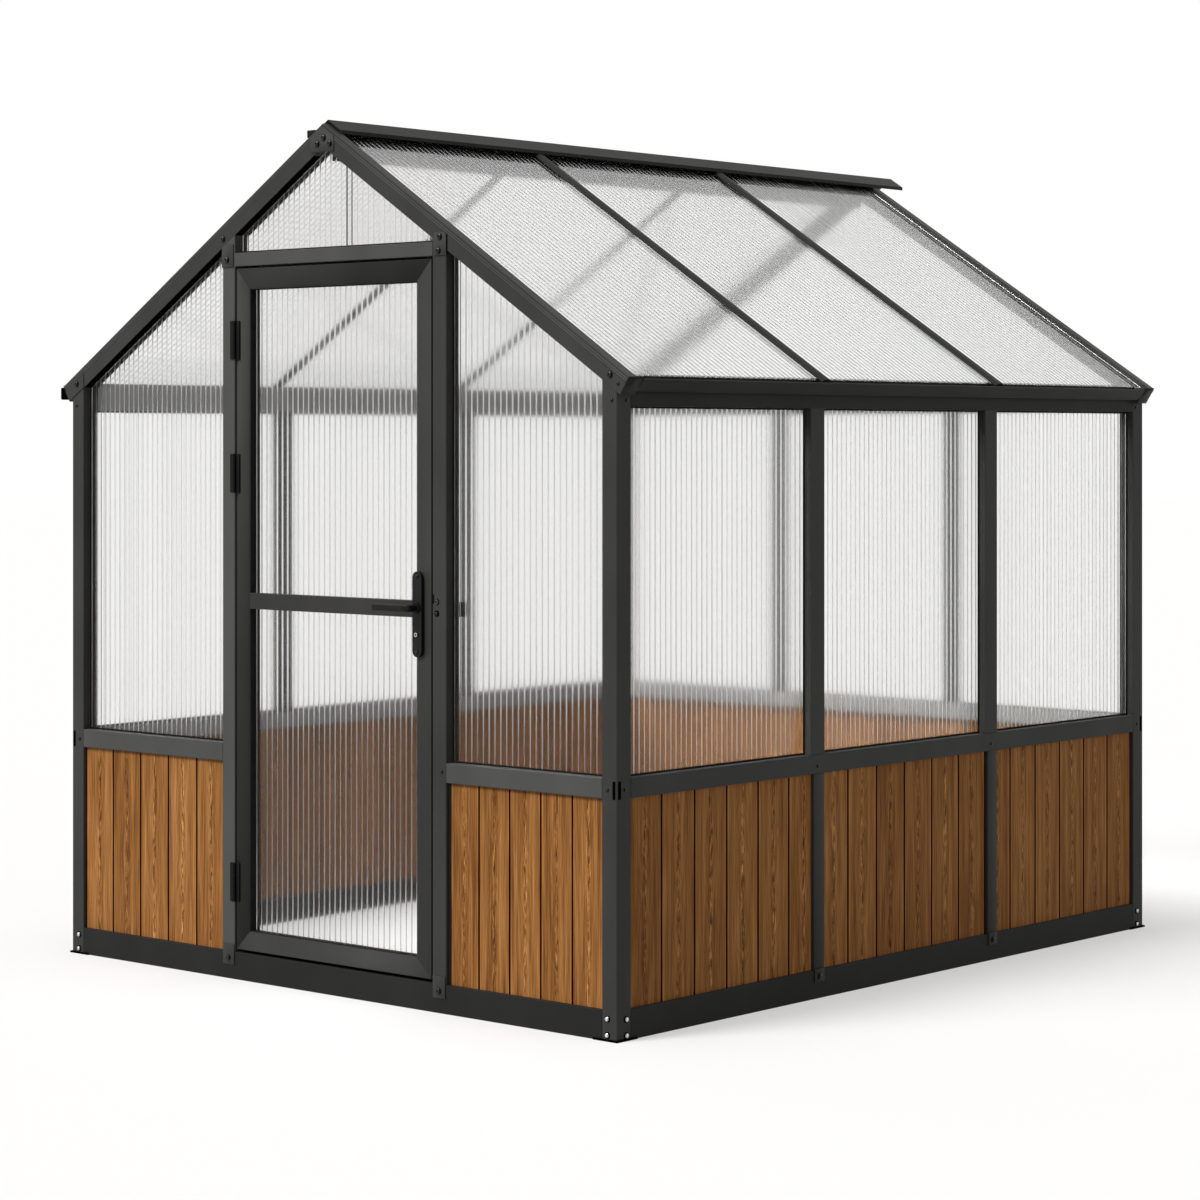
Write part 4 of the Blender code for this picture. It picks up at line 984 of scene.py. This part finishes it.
fit("lug_bolts", copies(big_bolt, lug_bolts), dark_bolt)
print("jamb plates:", len(jamb_plates))

# %% [markdown]
# ## Rafters, eave corners and the ridge
# The face of a gable rafter carries two fine raised lines along its upper edge, which stiffen the extrusion.
# They are long thin blocks, modelled level and then turned down the slope, in the palest coat, a painted
# highlight. A black strip lies under the rafter, in front of the glazing: painted shade of the rafter's
# underside. A cap closes the rafter's open end, in the darker coat, painted shade. A plate and a bolt tie the
# rafter's foot to the post, and at the ridge a plate laps both rafters, with three bolts.

# %% Raised lines, end caps, painted shade under the rafters, eave plates and ridge plates
EAVE_PLATE, RIDGE_PLATE = 0.0024, 0.0026  # how far the plates stand out from the rafters
RAFTER_END = (HALF + 0.0395) / math.cos(PITCH)
SPLICE_X, SPLICE_BOTTOM, SPLICE_TOP = 0.045, 2.306, 2.374


def on_slope(name, side, reach, depth, rises, bevel, segments=1):
    """A block on a slope, between two distances down it, two places along Y and two rises square to it."""
    corner, opposite = zip([side * distance for distance in reach], depth, rises)
    bar = block(name, corner, opposite, bevel, segments)
    stand(bar, (0, side * PITCH, 0), (0, 0, RIDGE))
    return bar


plates, ribs, caps, soffit_shades = [], [], [], []
for side, end, face in POSTS:
    for rise in (-0.0085, -0.0145):
        proud = (face + end * 0.0001, face + end * 0.0009)
        ribs.append(on_slope("rafter_rib", side, (0.055, RAFTER_END - 0.002), proud,
                             (rise - 0.0008, rise + 0.0008), 0.0003))
    caps.append(on_slope("end_cap", side, (RAFTER_END + SEAT, RAFTER_END + 0.0030),
                         (face + end * 0.0008, face - end * 0.0550), (-RAFTER - 0.0008, 0.0006), 0.0008, 2))
    plate = block("eave_plate", (side * (HALF - 0.052), face + end * SEAT, 1.600),
                  (side * (HALF + 0.030), face + end * EAVE_PLATE, 1.74), 0.0009)
    cut(plate, (0, face, roof_line(0, -0.018)), out_of_slope(side))
    cut(plate, (0, face, roof_line(0, -RAFTER + 0.0005)), -out_of_slope(side))
    cut(plate, Vector((0, face, RIDGE)) + down_slope(side) * (RAFTER_END + 0.002), down_slope(side))
    bpy.ops.object.shade_flat()
    plates.append(plate)
    gusset_bolts.append(on_end(side * 1.0440, 1.6827, end, EAVE_PLATE))
    if side > 0:
        sill_bolts.append(on_end(1.0707, 1.6590, end, EAVE_PLATE))
    sill_bolts += [on_end(side * 1.0475, 1.6180, end), on_side(side, face - end * 0.0386, 1.6180)]
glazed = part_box("pane_front_gable")[0].y - 2 * SEAT
for side_name, side in SIDES.items():
    inner, outer = sorted(abs(corner.x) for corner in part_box(f"door_jamb_{side_name}"))
    for ends in ((0.036, inner - 0.001), (outer + 0.001, HALF - 0.052)):
        reach = [(x + RAFTER * math.sin(PITCH)) / math.cos(PITCH) for x in ends]
        soffit_shades.append(on_slope("soffit_shade", side, reach, (FRONT + 0.002, glazed),
                              (-RAFTER - 0.0010, -RAFTER - 0.0002), 0.0003))
# These strips are painted shade under the rafters.
fit("rafter_soffits", soffit_shades, painted_shade_black)
for end, face in ENDS:
    plate = block("ridge_gusset", (-SPLICE_X, face + end * SEAT, SPLICE_BOTTOM),
                  (SPLICE_X, face + end * RIDGE_PLATE, SPLICE_TOP), 0.001)
    for side in (-1, 1):
        cut(plate, (0, face, roof_line(0, -0.006)), out_of_slope(side))
    plates.append(plate)
    for x, z in ((-0.019, 2.3295), (0.006, 2.345), (0.030, 2.3284)):
        gusset_bolts.append(on_end(x, z, end, RIDGE_PLATE))
fit("eave_plates", plates, frame_coat)
# The raised lines take the palest coat, a painted highlight.
fit("rafter_ribs", ribs, highlight_coat)
# The end caps take the darker coat, painted shade.
fit("rafter_caps", caps, shaded_coat)
sill_bolts += [on_side(side, middle, 0.631) for side in (-1, 1) for middle in SIDE_MULLIONS]
fit("gusset_bolts", copies(big_bolt, gusset_bolts), dark_bolt)
print("dark bolts:", len(gusset_bolts))

# %% [markdown]
# A black strip lies along the ridge cap's left edge, painted shade under the cap's edge; its end stands out
# beyond the gable as a short stub. Caps close the ends of the gutters, in the darker coat, painted shade. The
# left one has a stub at the front, black as painted shade, which stands out past the end of the rafter.

# %% Ridge strip and gutter caps
cap_low, cap_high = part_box("ridge")
ridge_strip = block("ridge_strip", (cap_low.x - 0.0285, cap_low.y - 0.006, 2.3500),
                    (cap_low.x + 0.002, cap_high.y - 0.030, 2.3710), 0.0015)
# The ridge strip is black as painted shade under the cap's edge.
fit("ridge_strip", [ridge_strip], rubber)
CAP_BOTTOM, CAP_TOP = EAVE - 0.0625, EAVE - 0.0315
gutter_caps = []
for side_name, side in SIDES.items():
    low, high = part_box(f"eave_{side_name}")
    outer = max(abs(low.x), abs(high.x))
    for y, y_end in ((FRONT + 0.003, low.y - SEAT), (high.y + SEAT, REAR - 0.003)):
        gutter_cap = block("gutter_cap", (side * (HALF + 0.001), y, CAP_BOTTOM),
                           (side * (outer - 0.0002), y_end, CAP_TOP), 0.0010)
        cut(gutter_cap, (side * (HALF + 0.0165), 0, CAP_BOTTOM), (side * 0.76, 0, -0.65))
        gutter_caps.append(gutter_cap)
# The gutter caps take the darker coat, painted shade.
fit("gutter_caps", gutter_caps, shaded_coat)
stub = block("gutter_stub", (-1.124, FRONT + 0.002, 1.6365), (-1.072, FRONT + 0.052, 1.6725), 0.0040)
cut(stub, Vector((0, 0, RIDGE)) + down_slope(-1) * (RAFTER_END + 0.0034), -down_slope(-1))
# The stub is black as painted shade.
fit("gutter_stub", [stub], painted_shade_black)
print("gutter caps:", len(gutter_caps))

# %% [markdown]
# ## Handle and lock furniture
# The long plate is held by a screw at its top and one at its foot, and a thin bright ring faces the key plug.
# The right jamb carries two strike screws on black washers, painted shade round their heads, and behind its
# edge stands the box that takes the latch, black as painted shade in its opening.

# %% Screws, key ring and keep
RING, RING_WALL, RING_DEPTH = 0.0056, 0.0018, 0.0012
plate_low, plate_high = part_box("handle_plate")
plate_middle = (plate_low.x + plate_high.x) / 2
plate_screws = [((plate_middle, plate_low.y, z), (0, -1, 0))
                for z in (plate_high.z - 0.013, plate_low.z + 0.013)]
fit("plate_screws", copies(small_bolt, plate_screws), dark_bolt, "door")
strike_screws = [on_end(0.4353, 1.0885), on_end(0.4353, 1.0575)]
# Black washers, painted shade round the strike screws.
fit("strike_washers", copies(foot_washer, strike_screws), painted_shade_black)
fit("strike_screws", copies(small_bolt, raised(strike_screws, WASHER)), dark_bolt)
sill_bolts.append(on_end(0.4530, 0.640))
fit("sill_bolts", copies(small_bolt, sill_bolts), dark_bolt)

ring = cylinder(32, RING, RING_DEPTH, (0, 0, RING_DEPTH / 2))
pick(ring, "FACE", lambda face: abs(face.normal.z) > 0.9)
with editing(ring):
    bpy.ops.mesh.inset(thickness=RING_WALL)
    bpy.ops.mesh.bridge_edge_loops()
with editing(ring, "SELECT"):
    bpy.ops.mesh.normals_make_consistent(inside=False)
smooth(40)
fit("strike_ring", copies(ring, raised(strike_screws[:1], WASHER)), zinc)
plug_low, plug_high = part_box("lock_plug")
plug_middle = (plug_low + plug_high) / 2
stand(ring, (RIGHT_ANGLE, 0, 0), (plug_middle.x, plug_low.y - SEAT, plug_middle.z))
dress(ring, zinc, "lock")
keep = block("latch_keep", (0.4695, 0.0255, 1.048), (0.484, 0.0375, 1.088))
# The keep is black as painted shade in the latch's opening.
fit("latch_keep", [keep], painted_shade_black)
for template in (big_bolt, foot_head, foot_washer, small_bolt):
    take(template)
    bpy.ops.object.delete()
print("handle plate:", as_lists((plate_low, plate_high)))

# %% [markdown]
# ## Floor and light
# The greenhouse stands on a white studio floor. The camera sees it, and sees it through the glazing, as
# nearly white; but for the light that bounces up from it, it is only a pale grey, so that the undersides
# stay dark. Light that has already bounced off a board and leaves through the glazing sees the pale grey
# too: the test on the diffuse depth keeps the inside as dim as it should be. The diffuse part still
# receives the shadow.

# %% A floor that looks white and keeps its shadow
def seen_straight(nodes):
    """1 for a ray that reaches the picture without bouncing off anything matt, else 0."""
    path = nodes.add("ShaderNodeLightPath").outputs
    straight = nodes.calc("LESS_THAN", path["Diffuse Depth"], 0.5)
    through = nodes.calc("MAXIMUM", path["Is Glossy Ray"], path["Is Transmission Ray"])
    return nodes.calc("MULTIPLY", nodes.calc("MAXIMUM", path["Is Camera Ray"], through), straight)


bpy.ops.object.select_all(action="DESELECT")
bpy.ops.mesh.primitive_plane_add(size=120, location=(0, 0, 0))
floor = bpy.context.object
floor.name = "studio_floor"
studio_white = bpy.data.materials.new("studio_white")
nodes = Tree(studio_white)
nodes.nodes.remove(nodes.nodes["Principled BSDF"])
glow = nodes.add("ShaderNodeEmission", {"Strength": 0.42}).outputs[0]
paint = nodes.add("ShaderNodeBsdfDiffuse", {"Color": (0.467, 0.462, 0.457, 1.0)}).outputs[0]
plain = nodes.add("ShaderNodeBsdfDiffuse", {"Color": (0.42, 0.42, 0.42, 1.0)}).outputs[0]
both = nodes.add("ShaderNodeAddShader", {0: glow, 1: paint}).outputs[0]
nodes.surface(seen_straight(nodes), plain, both)
recoat(floor, studio_white)
print("floor ready")

# %% [markdown]
# The light comes from the left of the door wall, high up and soft: the door wall is about twice as bright
# as the side wall, and the cast shadows have blurred edges. A weaker lamp straight above draws the light
# lines along the upper edges of the rails. The world fills in the rest.

# %% Two soft lamps and a white world
def soft_sun(name, towards, energy, spread, location):
    """A sun lamp that shines from a direction, as wide as its spread in degrees."""
    bpy.ops.object.select_all(action="DESELECT")
    bpy.ops.object.light_add(type="SUN", location=location)
    lamp = bpy.context.object
    lamp.name = name
    lamp.data.energy = energy
    lamp.data.angle = math.radians(spread)
    lamp.rotation_euler = Vector(towards).to_track_quat("Z", "Y").to_euler()


soft_sun("key_light", (-0.30, -0.80, 0.75), 2.7, 22, (-3, -8, 7))
soft_sun("overhead_light", (0.0, -0.12, 1.0), 1.0, 35, (0, 0, 8))
world = bpy.context.scene.world or bpy.data.worlds.new("studio")
bpy.context.scene.world = world
sky = Tree(world)
sky.nodes.clear()
strength = sky.add("ShaderNodeMapRange", {"Value": seen_straight(sky), "To Min": 0.36, "To Max": 1.0})
air = sky.add("ShaderNodeBackground", {"Color": (1.0, 1.0, 1.0, 1.0), "Strength": strength.outputs["Result"]})
sky.add("ShaderNodeOutputWorld", {"Surface": air.outputs[0]})
print("lamps and world ready")

# %% View settings
bpy.context.scene.view_settings.view_transform = "Standard"
